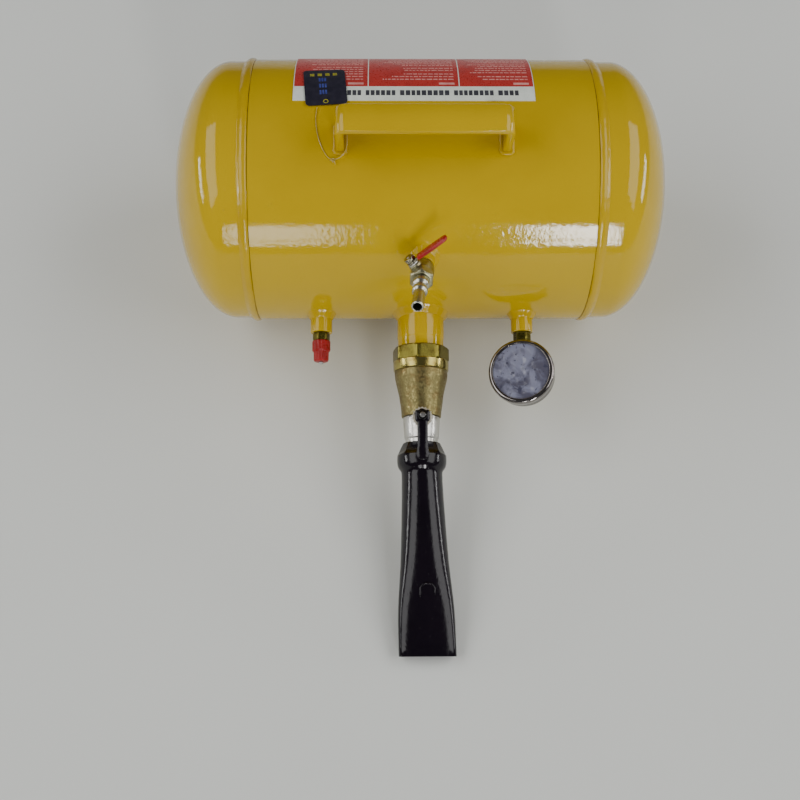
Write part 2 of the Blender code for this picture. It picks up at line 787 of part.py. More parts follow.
def make_gauge_case():
    profile = [
        (0, -0.0100),
        (0.0250, -0.0100),
        (0.0275, -0.0078),
        (0.0275, 0.0103),
        (0.0285, 0.0103),
        (0.0285, -0.0084),
        (0.0262, -0.0110),
        (0, -0.0110),
    ]
    case = turned("gauge_case", DIAL, BRASS, profile, 32)
    cut(case, rod("gauge_entry", GAUGE, 0.0050, 0.140, 0.155, 24))
    bezel = [
        (0.0262, 0.0142),
        (0.0284, 0.0139),
        (0.0296, 0.0128),
        (0.0300, 0.0110),
        (0.0300, 0.0056),
        (0.0288, 0.0056),
        (0.0288, 0.0123),
        (0.0256, 0.0123),
        (0.0256, 0.0132),
    ]
    turned("gauge_bezel", DIAL, CHROME, bezel, 32)
    turned("gauge_lens", DIAL, CLEAR, [(0, 0.0120), (0.0284, 0.0120), (0.0284, 0.0106), (0, 0.0106)], 32)
    turned("gauge_dial", DIAL, DIAL_WHITE, tube_ring(0.0272, 0.0014, 0.0066, 0.0072), 32)


def make_gauge_socket():
    """The brass stem with its hexagon, and inside the case the block that feeds the bent tube."""
    socket = turned(
        "gauge_socket",
        GAUGE,
        BRASS,
        [
            (0, 0.1540),
            (0.0046, 0.1540),
            (0.0046, BUSH_END + GAP),
            (SHANK_R, BUSH_END + GAP),
            (SHANK_R, 0.1262),
            (0.0020, 0.1262),
            (0.0020, 0.1520),
            (0, 0.1520),
        ],
        24,
    )
    hexagon = prism("socket_hexagon", GAUGE, None, 6, 0.0140, BUSH_END + GAP, 0.1465, radians(30))
    cut(hexagon, rod("socket_hexagon_bore", GAUGE, 0.0040, 0.13, 0.15, 24))
    block = box("socket_block", DIAL, None, (0.0100, 0.0080, 0.0060), (0, 0.0200, -0.0018))
    join(socket, hexagon, block)
    cut(socket, rod("socket_feed", GAUGE, 0.0010, 0.1510, 0.1575, 12))
    cut(socket, box("tube_feed", DIAL, None, (0.0070, 0.0014, 0.0014), (0.0035, 0.0201, 0)))


def make_bent_tube():
    """The flattened C of thin tube that straightens a little under pressure. It is closed at its free end."""
    inner, outer = 0.0196, 0.0222
    start, end = 74, -150
    outline = arc((0, 0), outer, start, end, 22) + arc((0, 0), inner, end, start, 22)
    tube = outline_plate("gauge_bent_tube", DIAL, BRASS, [outline], -0.0056, 0.0006)
    hollow = arc((0, 0), outer - 0.0005, start + 1, end + 4, 22)
    hollow += arc((0, 0), inner + 0.0005, end + 4, start + 1, 22)
    cut(tube, outline_plate("tube_hollow", DIAL, None, [hollow], -0.0051, 0.0001))
    tip = radians(end + 4)
    pin = rod("tube_pin", DIAL, 0.0008, 0.0003, 0.0050, 12)
    pin.location = (0.0209 * cos(tip), 0.0209 * sin(tip), 0)
    return join(tube, pin)


def make_movement():
    """The plate with the sector's pivot, the toothed sector, the link, the pinion arbor and the pointer."""
    half = 0.0075
    back, front = 0.0215, -0.0182
    plate_outline = [(-half, front), (half, front), (half, back), (-half, back)]
    plate = outline_plate(
        "gauge_movement_plate", DIAL, BRASS, [plate_outline, circle((0, 0), 0.0009, 12)], 0.0015, 0.0023
    )
    pivot = rod("sector_pivot", DIAL, 0.0010, 0.0020, 0.0048, 16)
    pivot.location = (0, -SECTOR_AT, 0)
    join(plate, pivot)
    sector_line = empty("line_sector", DIAL, (0, -SECTOR_AT, 0), (pi / 2, "Z"))
    pitch = 2 * pi / SECTOR_TEETH
    first, last = -9, 2
    teeth = []
    for index in range(first, last + 1):
        teeth += tooth_points(SECTOR_PITCH_R, SECTOR_TEETH, index * pitch)
    hub = arc((0, 0), 0.0026, 40, 75, 3)
    tail = [(0.0008, TAIL), (0, TAIL + 0.0013), (-0.0009, TAIL)]
    rest = arc((0, 0), 0.0026, 105, 290, 8)
    outlines = [teeth + hub + tail + rest, circle((0, 0), 0.00106, 16)]
    made = outline_plate("gauge_sector", sector_line, BRASS, outlines, 0.0028, 0.0038)
    tail_pin = rod("tail_pin", sector_line, 0.0005, 0.0033, 0.0050, 12)
    tail_pin.location = (0, TAIL, 0)
    join(made, tail_pin)
    make_link()
    make_pointer()


def make_link():
    """The link from the sector's tail to the pin on the bent tube, where it has a slot."""
    tip = radians(-146)
    pin = Vector((0.0209 * cos(tip), 0.0209 * sin(tip)))
    tail = Vector((-TAIL, -SECTOR_AT))
    along = (pin - tail).normalized()
    across = Vector((-along.y, along.x))
    turn = radians(SECTOR_SWING)
    moved = Vector((-TAIL * cos(turn) + TAIL, -TAIL * sin(turn)))
    slot_way = moved.normalized()
    slot_side = Vector((-slot_way.y, slot_way.x))
    outline = []
    for sign, count in ((1, 7), (-1, 7)):
        centre = tail if sign > 0 else pin - moved * 0.5
        radius = 0.0012 if sign > 0 else 0.0030
        for i in range(count):
            a = pi * i / (count - 1)
            outline.append(centre + radius * (across * cos(a) - along * sin(a)) * sign)
    slot = []
    for sign in (1, -1):
        for i in range(5):
            a = pi * i / 4
            centre = pin - moved * 0.5 + slot_way * sign * (moved.length / 2 + 0.0001)
            slot.append(centre + 0.0012 * (slot_side * cos(a) + slot_way * sin(a)) * sign)
    outlines = [[tuple(p) for p in outline], [tuple(p) for p in slot], circle(tail, 0.00056, 12)]
    outline_plate("gauge_link", DIAL, BRASS, outlines, 0.0041, 0.0047)


def make_pointer():
    arbor = turned(
        "gauge_arbor",
        DIAL,
        BRASS,
        [(0, 0.0092), (0.0006, 0.0092), (0.00085, 0.0078), (0.00085, 0.0005), (0, 0.0005)],
        16,
    )
    teeth = []
    for index in range(PINION_TEETH):
        teeth += tooth_points(PINION_PITCH_R, PINION_TEETH, 2 * pi * (index + 0.5) / PINION_TEETH + pi / 2)
    join(arbor, outline_plate("pinion", DIAL, None, [teeth], 0.0026, 0.0042))
    zero = empty("line_pointer", DIAL, (0, 0, 0), (radians(45), "Z"))
    needle = [(-0.0055, 0.0011), (-0.0055, -0.0011), (0.0, -0.0022), (0.0030, -0.0010), (0.0215, -0.0002)]
    needle += [(0.0215, 0.0002), (0.0030, 0.0010), (0.0, 0.0022)]
    outline_plate("gauge_pointer", zero, BLACK_STEEL, [needle, circle((0, 0), 0.0012, 12)], 0.0083, 0.0088)


# ---------------------------------------------------------------- hang tag and its thread
def on_tank(x, degrees_back, lift):
    """A point over the shell's top, the angle measured back from the handle."""
    a = radians(degrees_back)
    radius = TANK_R + lift
    return Vector((x, radius * sin(a), radius * cos(a)))


def make_tag():
    """A black card that lies on the shell behind the handle's left foot, curved like the shell."""
    tilt = radians(4.5)
    centre_x, centre_angle = -0.0843, radians(26.7)
    half_width, half_length = 0.0180, 0.0240
    corner = 0.0030
    low, high = 0.0012, 0.0018
    rows = 8
    line = empty("line_tag", TANK)
    bm = bmesh.new()
    sheets = []
    for lift in (low, high):
        sheet = []
        for i in range(rows + 1):
            v = -half_length + 2 * half_length * i / rows
            edge = half_width - corner * (i in (0, rows))
            for u in (-edge, edge):
                x = centre_x + u * cos(tilt) - v * sin(tilt)
                y = v * cos(tilt) + u * sin(tilt)
                a = centre_angle + y / (TANK_R + low)
                radius = TANK_R + lift
                sheet.append(bm.verts.new((x, radius * sin(a), radius * cos(a))))
        sheets.append(sheet)
    under, over = sheets
    for i in range(rows):
        a, b, c, d = 2 * i, 2 * i + 1, 2 * i + 3, 2 * i + 2
        bm.faces.new((under[a], under[b], under[c], under[d]))
        bm.faces.new((over[a], over[d], over[c], over[b]))
        bm.faces.new((under[a], under[d], over[d], over[a]))
        bm.faces.new((under[b], over[b], over[c], under[c]))
    bm.faces.new((under[0], over[0], over[1], under[1]))
    bm.faces.new((under[-2], under[-1], over[-1], over[-2]))
    bmesh.ops.recalc_face_normals(bm, faces=bm.faces)
    place(mesh_of(bm, "hang_tag"), "hang_tag", line, CARD)


# The thread leaves the card's near edge, passes the foot's left side, is knotted in front of the foot
# and goes back to the card through the handle. Each stop is x, the angle back from the handle in
# degrees, and the height over the shell.
THREAD_STOPS = (
    (-0.0905, 14.2, 0.0012),
    (-0.0913, 11.0, 0.0009),
    (-0.0912, 6.0, 0.0009),
    (-0.0890, 0.0, 0.0009),
    (-0.0850, -5.0, 0.0009),
    (-0.0800, -8.4, 0.0009),
    (-0.0745, -8.9, 0.0016),
    (-0.0693, -8.0, 0.0036),
    (-0.0656, -5.4, 0.0054),
    (-0.0645, 0.0, 0.0060),
    (-0.0650, 5.4, 0.0054),
    (-0.0690, 10.5, 0.0026),
    (-0.0740, 14.6, 0.0012),
)
THREAD_R = 0.0004


def smooth_route(stops, steps):
    """Points on a smooth curve through the stops, with the given number of steps between two stops."""
    points = [on_tank(*stop) for stop in stops]
    padded = [2 * points[0] - points[1]] + points + [2 * points[-1] - points[-2]]
    route = []
    for a, b, c, d in zip(padded, padded[1:], padded[2:], padded[3:]):
        slope = (c - a) / 2
        next_slope = (d - b) / 2
        bend = 3 * (c - b) - 2 * slope - next_slope
        twist = 2 * (b - c) + slope + next_slope
        for i in range(steps):
            t = i / steps
            route.append(b + slope * t + bend * t * t + twist * t * t * t)
    return route + [points[-1]]


def make_thread():
    wire("tag_thread", TANK, NYLON, smooth_route(THREAD_STOPS, 3), THREAD_R)


make_shell()
make_heads()
make_handle()
make_neck()
make_port("safety", SAFETY, BUSH_END)
make_port("gauge", GAUGE, BUSH_END)
make_port("fill", FILL, FILL_BUSH_END)
make_label()
make_inlet_end()
make_valve_body()
make_main_lever()
make_nozzle()
make_fill_valve()
make_safety_valve()
make_gauge_case()
make_gauge_socket()
make_bent_tube()
make_movement()
make_tag()
make_thread()
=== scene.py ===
"""The looks of the bead seater blaster tank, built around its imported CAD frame."""

import random
from math import asin, atan2, ceil, cos, hypot, pi, radians, sin, sqrt, tan

import bmesh
import bpy
from mathutils import Matrix, Vector, noise


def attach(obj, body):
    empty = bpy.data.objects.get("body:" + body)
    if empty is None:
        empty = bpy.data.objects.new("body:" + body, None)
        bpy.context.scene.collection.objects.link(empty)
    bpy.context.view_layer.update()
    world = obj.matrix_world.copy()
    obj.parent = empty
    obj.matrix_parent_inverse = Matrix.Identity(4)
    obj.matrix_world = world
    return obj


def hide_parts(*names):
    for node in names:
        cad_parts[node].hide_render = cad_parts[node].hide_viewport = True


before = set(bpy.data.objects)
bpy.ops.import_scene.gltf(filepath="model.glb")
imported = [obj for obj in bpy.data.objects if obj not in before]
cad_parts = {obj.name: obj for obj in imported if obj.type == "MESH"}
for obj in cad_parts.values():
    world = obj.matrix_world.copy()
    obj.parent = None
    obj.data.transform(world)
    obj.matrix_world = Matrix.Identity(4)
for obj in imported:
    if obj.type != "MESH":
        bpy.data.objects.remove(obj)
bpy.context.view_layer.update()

# ---------------------------------------------------------------- sizes shared with the CAD, in metres
TANK_R = 0.120
WALL = 0.003
SEAM_X = 0.1493
TANK_HALF = 0.226
HEAD_R = 0.1185
HEAD_DEPTH = 0.0545
BEAD_R = 0.1215
NOZZLE_END = 0.4293
MOUTH_HALF_WIDTH = 0.0252
MOUTH_HALF_HEIGHT = 0.0070
NOZZLE_LEAN = radians(1.3)
HANDLE_LENGTH = 0.148
HANDLE_WIDTH = 0.0247
HANDLE_TOP = 0.1612
HANDLE_THICK = 0.0070
HANDLE_BEND = 0.0095
NECK_R = 0.0214
NECK_END = 0.1526
STEM_AT = 0.2215
BUSH_R = 0.0099
BUSH_END = 0.1380
SAFETY_X = -0.0913
GAUGE_X = 0.0933
GAUGE_AT = 0.1770
FILL_X = 0.0140
FILL_BUSH_END = 0.1345
FILL_STEM_AT = 0.1435

ROLL = asin(BEAD_R / hypot(NOZZLE_END, MOUTH_HALF_HEIGHT)) - atan2(MOUTH_HALF_HEIGHT, NOZZLE_END)
NOZZLE_REACH = NOZZLE_END * cos(ROLL) + MOUTH_HALF_HEIGHT * sin(ROLL)
TANK_Y = (NOZZLE_REACH - BEAD_R) / 2


def line(parent, at, *turns):
    """A frame inside another one: a place, then turns as (angle, axis) pairs about its own axes."""
    matrix = parent @ Matrix.Translation(at)
    for angle, axis in turns:
        matrix = matrix @ Matrix.Rotation(angle, 4, axis)
    return matrix


TANK = line(Matrix.Identity(4), (0, TANK_Y, BEAD_R), (ROLL, "X"))
RIGHT = line(TANK, (0, 0, 0), (pi / 2, "Y"))
LEFT = line(TANK, (0, 0, 0), (-pi / 2, "Y"))
NECK = line(TANK, (0, 0, 0), (pi / 2, "X"))
SAFETY = line(TANK, (SAFETY_X, 0, 0), (pi / 2, "X"))
GAUGE = line(TANK, (GAUGE_X, 0, 0), (pi / 2, "X"), (radians(14), "Z"))
FILL = line(TANK, (FILL_X, 0, 0), (radians(50), "X"), (-radians(6), "Y"))
MAIN_STEM = line(NECK, (0, 0, STEM_AT), (-pi / 2, "X"))
FILL_STEM = line(FILL, (0, 0, FILL_STEM_AT), (pi - radians(48), "Z"), (pi / 2, "Y"))
DIAL = line(GAUGE, (0, 0, GAUGE_AT), (-pi / 2, "X"))


# ---------------------------------------------------------------- materials
class Look:
    """A Principled material with textures in the row frame's metres."""

    def __init__(self, name, colour, roughness, metallic=0.0, **sockets):
        self.material = bpy.data.materials.new(name)
        self.material.use_nodes = True
        self.nodes = self.material.node_tree.nodes
        self.links = self.material.node_tree.links
        self.shader = self.nodes["Principled BSDF"]
        self.shader.inputs["Base Color"].default_value = (*colour, 1)
        self.shader.inputs["Roughness"].default_value = roughness
        self.shader.inputs["Metallic"].default_value = metallic
        for socket, value in sockets.items():
            self.shader.inputs[socket.replace("_", " ")].default_value = value
        self.normal = None

    def node(self, kind, inputs=(), **settings):
        made = self.nodes.new("ShaderNode" + kind)
        for name, value in settings.items():
            setattr(made, name, value)
        for key, value in dict(inputs).items():
            if isinstance(value, bpy.types.NodeSocket):
                self.links.new(value, made.inputs[key])
            else:
                made.inputs[key].default_value = value
        return made

    def coordinates(self, stretch=(1, 1, 1), rotation=(0, 0, 0)):
        source = self.node("TexCoord").outputs["Object"]
        return self.node("Mapping", {"Vector": source, "Scale": stretch, "Rotation": rotation}).outputs[0]

    def noise(self, scale, detail=3.0, stretch=(1, 1, 1), roughness=0.55, distortion=0.0, rotation=(0, 0, 0)):
        """A grey pattern with the given number of lumps to the metre."""
        inputs = {
            "Vector": self.coordinates(stretch, rotation),
            "Scale": scale,
            "Detail": detail,
            "Roughness": roughness,
            "Distortion": distortion,
        }
        return self.node("TexNoise", inputs).outputs["Fac"]

    def spots(self, scale, low, high):
        """Small round spots, 1 at their middle."""
        cells = self.node("TexVoronoi", {"Vector": self.coordinates(), "Scale": scale}).outputs["Distance"]
        return self.spread(cells, high, low)

    def spread(self, value, low, high, to_low=0.0, to_high=1.0):
        """The value with its low to high range moved to another range, and clamped."""
        inputs = {0: value, 1: low, 2: high, 3: to_low, 4: to_high}
        return self.node("MapRange", inputs, interpolation_type="SMOOTHSTEP").outputs[0]

    def blend(self, share, first, second):
        """A colour between two, each a colour or a socket."""
        made = self.node("Mix", {0: share}, data_type="RGBA")
        for index, value in ((6, first), (7, second)):
            if isinstance(value, bpy.types.NodeSocket):
                self.links.new(value, made.inputs[index])
            else:
                made.inputs[index].default_value = (*value, 1)
        return made.outputs[2]

    def colour(self, socket):
        self.links.new(socket, self.shader.inputs["Base Color"])
        return self

    def rough(self, socket):
        self.links.new(socket, self.shader.inputs["Roughness"])
        return self

    def bump(self, height, distance, strength=1.0):
        inputs = {"Height": height, "Distance": distance, "Strength": strength}
        if self.normal:
            inputs["Normal"] = self.normal
        self.normal = self.node("Bump", inputs).outputs[0]
        self.links.new(self.normal, self.shader.inputs["Normal"])
        return self


def painted(name, colour, deep, peel=1.0, roughness=0.06, shine=0.42):
    """Gloss spray paint: orange peel, faint cloudiness and dust nibs."""
    look = Look(name, colour, roughness, Specular_IOR_Level=shine)
    cloud = look.spread(look.noise(9, 4), 0.35, 0.68)
    look.colour(look.blend(cloud, colour, deep))
    look.rough(look.spread(look.noise(240, 3), 0.3, 0.7, roughness * 0.8, roughness * 1.35))
    look.bump(look.noise(300, 2), 0.00010 * peel)
    look.bump(look.noise(60, 2), 0.0006 * peel, 0.12)
    look.bump(look.spots(170, 0.02, 0.10), 0.0002, 0.5)
    return look.material


def metal(
    name, colour, stain, roughness, grain=(1, 1, 1), rotation=(0, 0, 0), depth=0.00003, grain_scale=900
):
    """Bare or plated metal: tool marks along one way, fine pits and patches of tarnish."""
    look = Look(name, colour, roughness, 1.0)
    patch = look.spread(look.noise(120, 4, distortion=0.4), 0.42, 0.72)
    look.colour(look.blend(patch, colour, stain))
    marks = look.noise(grain_scale, 3, grain, rotation=rotation)
    look.rough(look.spread(marks, 0.3, 0.7, roughness * 0.7, roughness * 1.5))
    look.bump(marks, depth)
    look.bump(look.noise(420, 3), depth * 2, 0.5)
    return look.material


YELLOW = painted("yellow_paint", (0.50, 0.33, 0.0), (0.47, 0.305, 0.0))
BEAD_YELLOW = painted("yellow_paint_on_weld", (0.48, 0.31, 0.0), (0.40, 0.25, 0.0), 3.0, 0.14)
BLACK = painted("black_paint", (0.003, 0.0015, 0.004), (0.005, 0.0025, 0.006), 1.0, 0.15, 0.36)
ROLLED = (-ROLL, 0, 0)
BRASS = metal("brass_machined", (0.18, 0.155, 0.030), (0.125, 0.098, 0.020), 0.24, (1, 12, 1), ROLLED)
BRASS_BRIGHT = metal("brass_polished", (0.40, 0.34, 0.10), (0.27, 0.20, 0.05), 0.17, (1, 12, 1), ROLLED)
BRASS_CAST = metal(
    "brass_cast", (0.23, 0.195, 0.08), (0.18, 0.13, 0.05), 0.42, depth=0.00010, grain_scale=500
)
# The nickel's yellow-green tint is partly painted reflection of the yellow tank, on top of the plating's own
# colour.
NICKEL_WITH_PAINTED_REFLECTION = metal("nickel_plate_with_painted_tank_reflection", (0.36, 0.35, 0.22), (0.25, 0.215, 0.115), 0.3, (1, 8, 1), ROLLED)
PLUG_NICKEL = metal("plug_nickel", (0.50, 0.50, 0.43), (0.38, 0.36, 0.29), 0.24, (1, 8, 1), ROLLED)
DARK_NICKEL = metal("dark_nickel", (0.34, 0.32, 0.24), (0.20, 0.17, 0.10), 0.16)
SATIN = metal("satin_nickel", (0.66, 0.62, 0.52), (0.5, 0.45, 0.36), 0.5)
BRIGHT_NICKEL = metal("bright_nickel", (0.60, 0.59, 0.56), (0.44, 0.42, 0.38), 0.26, (1, 8, 1), ROLLED)
RIM_CHROME = metal("rim_chrome", (0.25, 0.23, 0.22), (0.20, 0.175, 0.16), 0.09, depth=0.00001)
CHROME = metal("chrome_plate", (0.80, 0.80, 0.82), (0.68, 0.67, 0.68), 0.07, depth=0.000008)
DARK_STEEL = metal("blackened_steel", (0.05, 0.048, 0.05), (0.03, 0.028, 0.028), 0.25)
DARK_CHROME = metal("dark_chrome", (0.10, 0.085, 0.075), (0.06, 0.045, 0.04), 0.2, depth=0.00002)
STEEL = metal("steel", (0.48, 0.47, 0.46), (0.30, 0.28, 0.26), 0.3, (1, 1, 9))


def plastic(name, colour, deep, roughness, depth=0.00004, **sockets):
    """Moulded plastic with fine grain and scuffed patches."""
    look = Look(name, colour, roughness, **sockets)
    look.colour(look.blend(look.spread(look.noise(160, 4), 0.35, 0.7), colour, deep))
    look.rough(look.spread(look.noise(600, 3), 0.3, 0.7, roughness * 0.75, roughness * 1.4))
    look.bump(look.noise(1500, 2), depth)
    return look.material


RED_CAP = plastic("red_cap_plastic", (0.33, 0.006, 0.005), (0.24, 0.004, 0.004), 0.3, Specular_IOR_Level=0.3)
RED_SLEEVE = plastic("red_vinyl", (0.36, 0.008, 0.007), (0.27, 0.007, 0.006), 0.22, Specular_IOR_Level=0.5)
PTFE = plastic("ptfe", (0.8, 0.8, 0.77), (0.7, 0.7, 0.66), 0.5)
CARD = plastic("black_card", (0.010, 0.009, 0.020), (0.018, 0.016, 0.030), 0.42, 0.00006)
INK_YELLOW = plastic("yellow_ink", (0.42, 0.38, 0.02), (0.30, 0.28, 0.02), 0.45)
INK_BLUE = plastic("blue_ink", (0.05, 0.07, 0.30), (0.03, 0.04, 0.22), 0.45)
LABEL_WHITE = plastic("label_white", (0.74, 0.78, 0.70), (0.67, 0.71, 0.64), 0.32)
LABEL_RED = plastic("label_red", (0.49, 0.036, 0.028), (0.42, 0.030, 0.024), 0.32)
INK_WHITE = plastic("white_ink", (0.72, 0.34, 0.30), (0.62, 0.24, 0.22), 0.4)
INK_DARK = plastic("dark_ink", (0.035, 0.035, 0.045), (0.06, 0.06, 0.07), 0.4)
THREAD = plastic("nylon", (0.62, 0.48, 0.12), (0.55, 0.42, 0.10), 0.15, Transmission_Weight=0.35)
DIAL_WHITE = plastic("dial_paint", (0.62, 0.62, 0.66), (0.54, 0.54, 0.58), 0.45)


# ---------------------------------------------------------------- mesh helpers
def placed(name, data):
    made = bpy.data.objects.new(name, data)
    bpy.context.scene.collection.objects.link(made)
    return made


def turned(matrix, degrees):
    """The frame turned about its own Z."""
    return matrix @ Matrix.Rotation(radians(degrees), 4, "Z")


def show(bm, name, matrix, look, body="tank", replaces=None, angle=32):
    """The mesh as a piece in the row frame, riding on its body."""
    bmesh.ops.recalc_face_normals(bm, faces=bm.faces)
    bm.transform(matrix)
    mesh = bpy.data.meshes.new(name)
    bm.to_mesh(mesh)
    bm.free()
    mesh.shade_smooth()
    mesh.set_sharp_from_angle(angle=radians(angle))
    mesh.materials.append(look)
    piece = placed(name, mesh)
    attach(piece, body)
    if replaces:
        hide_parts(replaces)
    return piece


def join_rings(bm, first, second):
    count = max(len(first), len(second))
    for i in range(count):
        j = (i + 1) % count
        corners = [first[i % len(first)], first[j % len(first)]]
        corners += [second[j % len(second)], second[i % len(second)]]
        bm.faces.new(list(dict.fromkeys(corners)))


def join_all(bm, rings, closed=False):
    """Joins each ring to the next, and the last to the first if closed."""
    for first, second in zip(rings, rings[1:] + rings[:1] if closed else rings[1:]):
        join_rings(bm, first, second)


def lathe(profile, steps=96, wobble=None):
    """A turned body from (radius, height). A radius may be a function of the angle.

    Off the axis it closes as a ring.
    """
    bm = bmesh.new()
    rings = []
    for radius, height in profile:
        if not callable(radius) and radius < 1e-6:
            rings.append([bm.verts.new((0, 0, height))])
            continue
        ring = []
        for i in range(steps):
            a = 2 * pi * i / steps
            r = radius(a) if callable(radius) else radius
            point = Vector((r * cos(a), r * sin(a), height))
            ring.append(bm.verts.new(wobble(point) if wobble else point))
        rings.append(ring)
    join_all(bm, rings, len(rings[0]) > 1)
    return bm


def soft(points, radius=0.0004, steps=3, closed=True):
    """The profile with each corner rounded."""
    count = len(points)
    made = []
    for i, point in enumerate(points):
        if not closed and i in (0, count - 1):
            made.append(point)
            continue
        here = Vector(point)
        before = Vector(points[i - 1]) - here
        after = Vector(points[(i + 1) % count]) - here
        short = before.length < 1e-7 or after.length < 1e-7
        if short or abs(before.normalized().dot(after.normalized())) > 0.995:
            made.append(point)
            continue
        start = here + before.normalized() * min(radius, before.length * 0.45)
        end = here + after.normalized() * min(radius, after.length * 0.45)
        for k in range(steps + 1):
            t = k / steps
            made.append(tuple(start * (1 - t) ** 2 + here * 2 * t * (1 - t) + end * t * t))
    return made


def faceted(sides, flats, limit):
    """The radius of a bar with flats, turned down to a limit. A corner lies at angle 0."""

    def radius(a):
        t = a % (2 * pi / sides) - pi / sides
        return min(flats / 2 / cos(t), limit)

    return radius


def hexagon(flats, low, high, bore, sides=6, chamfer=0.0010, steps=96):
    """A nut: flats with turned corners at both ends, and a round bore."""
    corner = flats / 2 / cos(pi / sides) - 0.00015
    inside = flats / 2 - 0.0002
    outer = [
        (inside, high),
        (faceted(sides, flats, inside + (corner - inside) * 0.5), high - chamfer * 0.4),
        (faceted(sides, flats, corner), high - chamfer),
        (faceted(sides, flats, corner), low + chamfer),
        (faceted(sides, flats, inside + (corner - inside) * 0.5), low + chamfer * 0.4),
        (inside, low),
    ]
    return lathe(outer + [(bore, low), (bore, high)], steps)


def rippled(depth, scale, seed):
    """A wobble that moves points out and in from the lathe's axis."""
    shift = Vector((seed, seed * 1.7, seed * 0.6))

    def move(point):
        flat = Vector((point.x, point.y, 0))
        if flat.length < 1e-6:
            return point
        return point + flat.normalized() * noise.noise(point * scale + shift) * depth

    return move


def sweep(path, radius_at, sides=12, closed=True):
    """A round bar along points. radius_at gives (radius, flatness) for each point's number."""
    bm = bmesh.new()
    rings = []
    count = len(path)
    for i, point in enumerate(path):
        before = path[i - 1] if closed or i else path[0]
        after = path[(i + 1) % count] if closed or i < count - 1 else path[-1]
        along = (after - before).normalized()
        side = along.cross(Vector((0, 0, 1)))
        side = side.normalized() if side.length > 0.05 else along.cross(Vector((0, 1, 0))).normalized()
        up = side.cross(along)
        radius, flatness = radius_at(i)
        ring = []
        for k in range(sides):
            a = 2 * pi * k / sides
            ring.append(bm.verts.new(point + side * radius * cos(a) + up * radius * flatness * sin(a)))
        rings.append(ring)
    join_all(bm, rings, closed)
    if not closed:
        bm.faces.new(rings[0])
        bm.faces.new(rings[-1])
    return bm


def arc(centre, radius, start, end, count):
    x, y = centre
    angles = [radians(start + (end - start) * i / (count - 1)) for i in range(count)]
    return [(x + radius * cos(a), y + radius * sin(a)) for a in angles]


def walk(stops, step):
    """Points at even steps along the straight stretches between stops."""
    for (ax, ay), (bx, by) in zip(stops, stops[1:]):
        pieces = max(1, ceil(hypot(bx - ax, by - ay) / step))
        for k in range(pieces):
            yield ax + (bx - ax) * k / pieces, ay + (by - ay) * k / pieces


def slab(outline, low, high, bevel=0.0003, holes=()):
    """A flat plate from an outline, each of its long edges rounded."""
    bm = bmesh.new()
    inset = []
    count = len(outline)
    for i, point in enumerate(outline):
        before = Vector(point) - Vector(outline[i - 1])
        after = Vector(outline[(i + 1) % count]) - Vector(point)
        tangent = (before.normalized() + after.normalized()).normalized()
        inset.append(Vector(point) + Vector((-tangent.y, tangent.x)) * bevel)
    levels = [(inset, low), (outline, low + bevel), (outline, high - bevel), (inset, high)]
    rings = [[bm.verts.new((p[0], p[1], z)) for p in shape] for shape, z in levels]
    join_all(bm, rings)
    if not holes:
        bm.faces.new(rings[0])
        bm.faces.new(rings[-1])
        return bm
    for ring, z in ((rings[0], low), (rings[-1], high)):
        edges = [bm.edges.get((a, b)) for a, b in zip(ring, ring[1:] + ring[:1])]
        for hole in holes:
            inner = [bm.verts.new((x, y, z)) for x, y in hole]
            edges += [bm.edges.new((a, b)) for a, b in zip(inner, inner[1:] + inner[:1])]
        bmesh.ops.triangle_fill(bm, use_beauty=True, edges=edges)
    for hole in holes:
        walls = []
        for z in (low, high):
            walls.append([v for x, y in hole for v in bm.verts if (v.co - Vector((x, y, z))).length < 1e-7])
        join_rings(bm, *walls)
    return bm


def shell_height(matrix, x, y, lift=0.0):
    """How far along a fitting's line the tank's skin lies, beside the line by x and y."""
    local = TANK.inverted() @ matrix
    start = local @ Vector((x, y, 0))
    way = local.to_3x3() @ Vector((0, 0, 1))
    a = way.y**2 + way.z**2
    b = 2 * (start.y * way.y + start.z * way.z)
    c = start.y**2 + start.z**2 - (TANK_R + lift) ** 2
    return (-b + sqrt(max(0.0, b * b - 4 * a * c))) / (2 * a)


# ---------------------------------------------------------------- tank
def build_shell():
    half = SEAM_X
    count = 25
    outer = [(TANK_R, half - 2 * half * i / (count - 1)) for i in range(count)]
    profile = outer + [(TANK_R - WALL, -half), (TANK_R - WALL, half)]
    bm = lathe(profile, 192, rippled(0.00025, 14, 3.1))
    show(bm, "tank_skin", RIGHT, YELLOW, replaces="tank_shell")


def head_profile(count):
    flange = TANK_HALF - HEAD_DEPTH
    angles = [pi / 2 * (1 - i / count) for i in range(count + 1)]
    outer = [(HEAD_R * cos(a), flange + HEAD_DEPTH * sin(a)) for a in angles]
    outer[0] = (0, TANK_HALF)
    lap_r = TANK_R - WALL - 0.0003
    step = [(HEAD_R, SEAM_X + 0.0026), (lap_r, SEAM_X + 0.0004), (lap_r, SEAM_X - 0.014)]
    inner_r = lap_r - WALL
    inner = [(inner_r, SEAM_X - 0.014), (inner_r, flange)]
    angles = [pi / 2 * i / 12 for i in range(1, 12)]
    inner += [(inner_r * cos(a), flange + (HEAD_DEPTH - WALL) * sin(a)) for a in angles]
    return outer + step + inner + [(0, TANK_HALF - WALL)]


def seam_profile():
    """The bead that joins a head to the shell: a sharp toe on the shell, and a soft run out on the head."""
    points = [
        (0.12010, 0.0004), (0.12060, 0.0009), (0.12125, 0.0020), (0.12145, 0.0034),
        (0.12120, 0.0050), (0.12060, 0.0064), (0.11970, 0.0077), (0.11890, 0.0087),
        (0.11858, 0.0096), (0.11780, 0.0096), (0.11780, 0.0030), (0.11700, 0.0028),
        (0.11700, 0.0006),
    ]
    return [(r, SEAM_X + x) for r, x in soft(points, 0.0005, 2)]


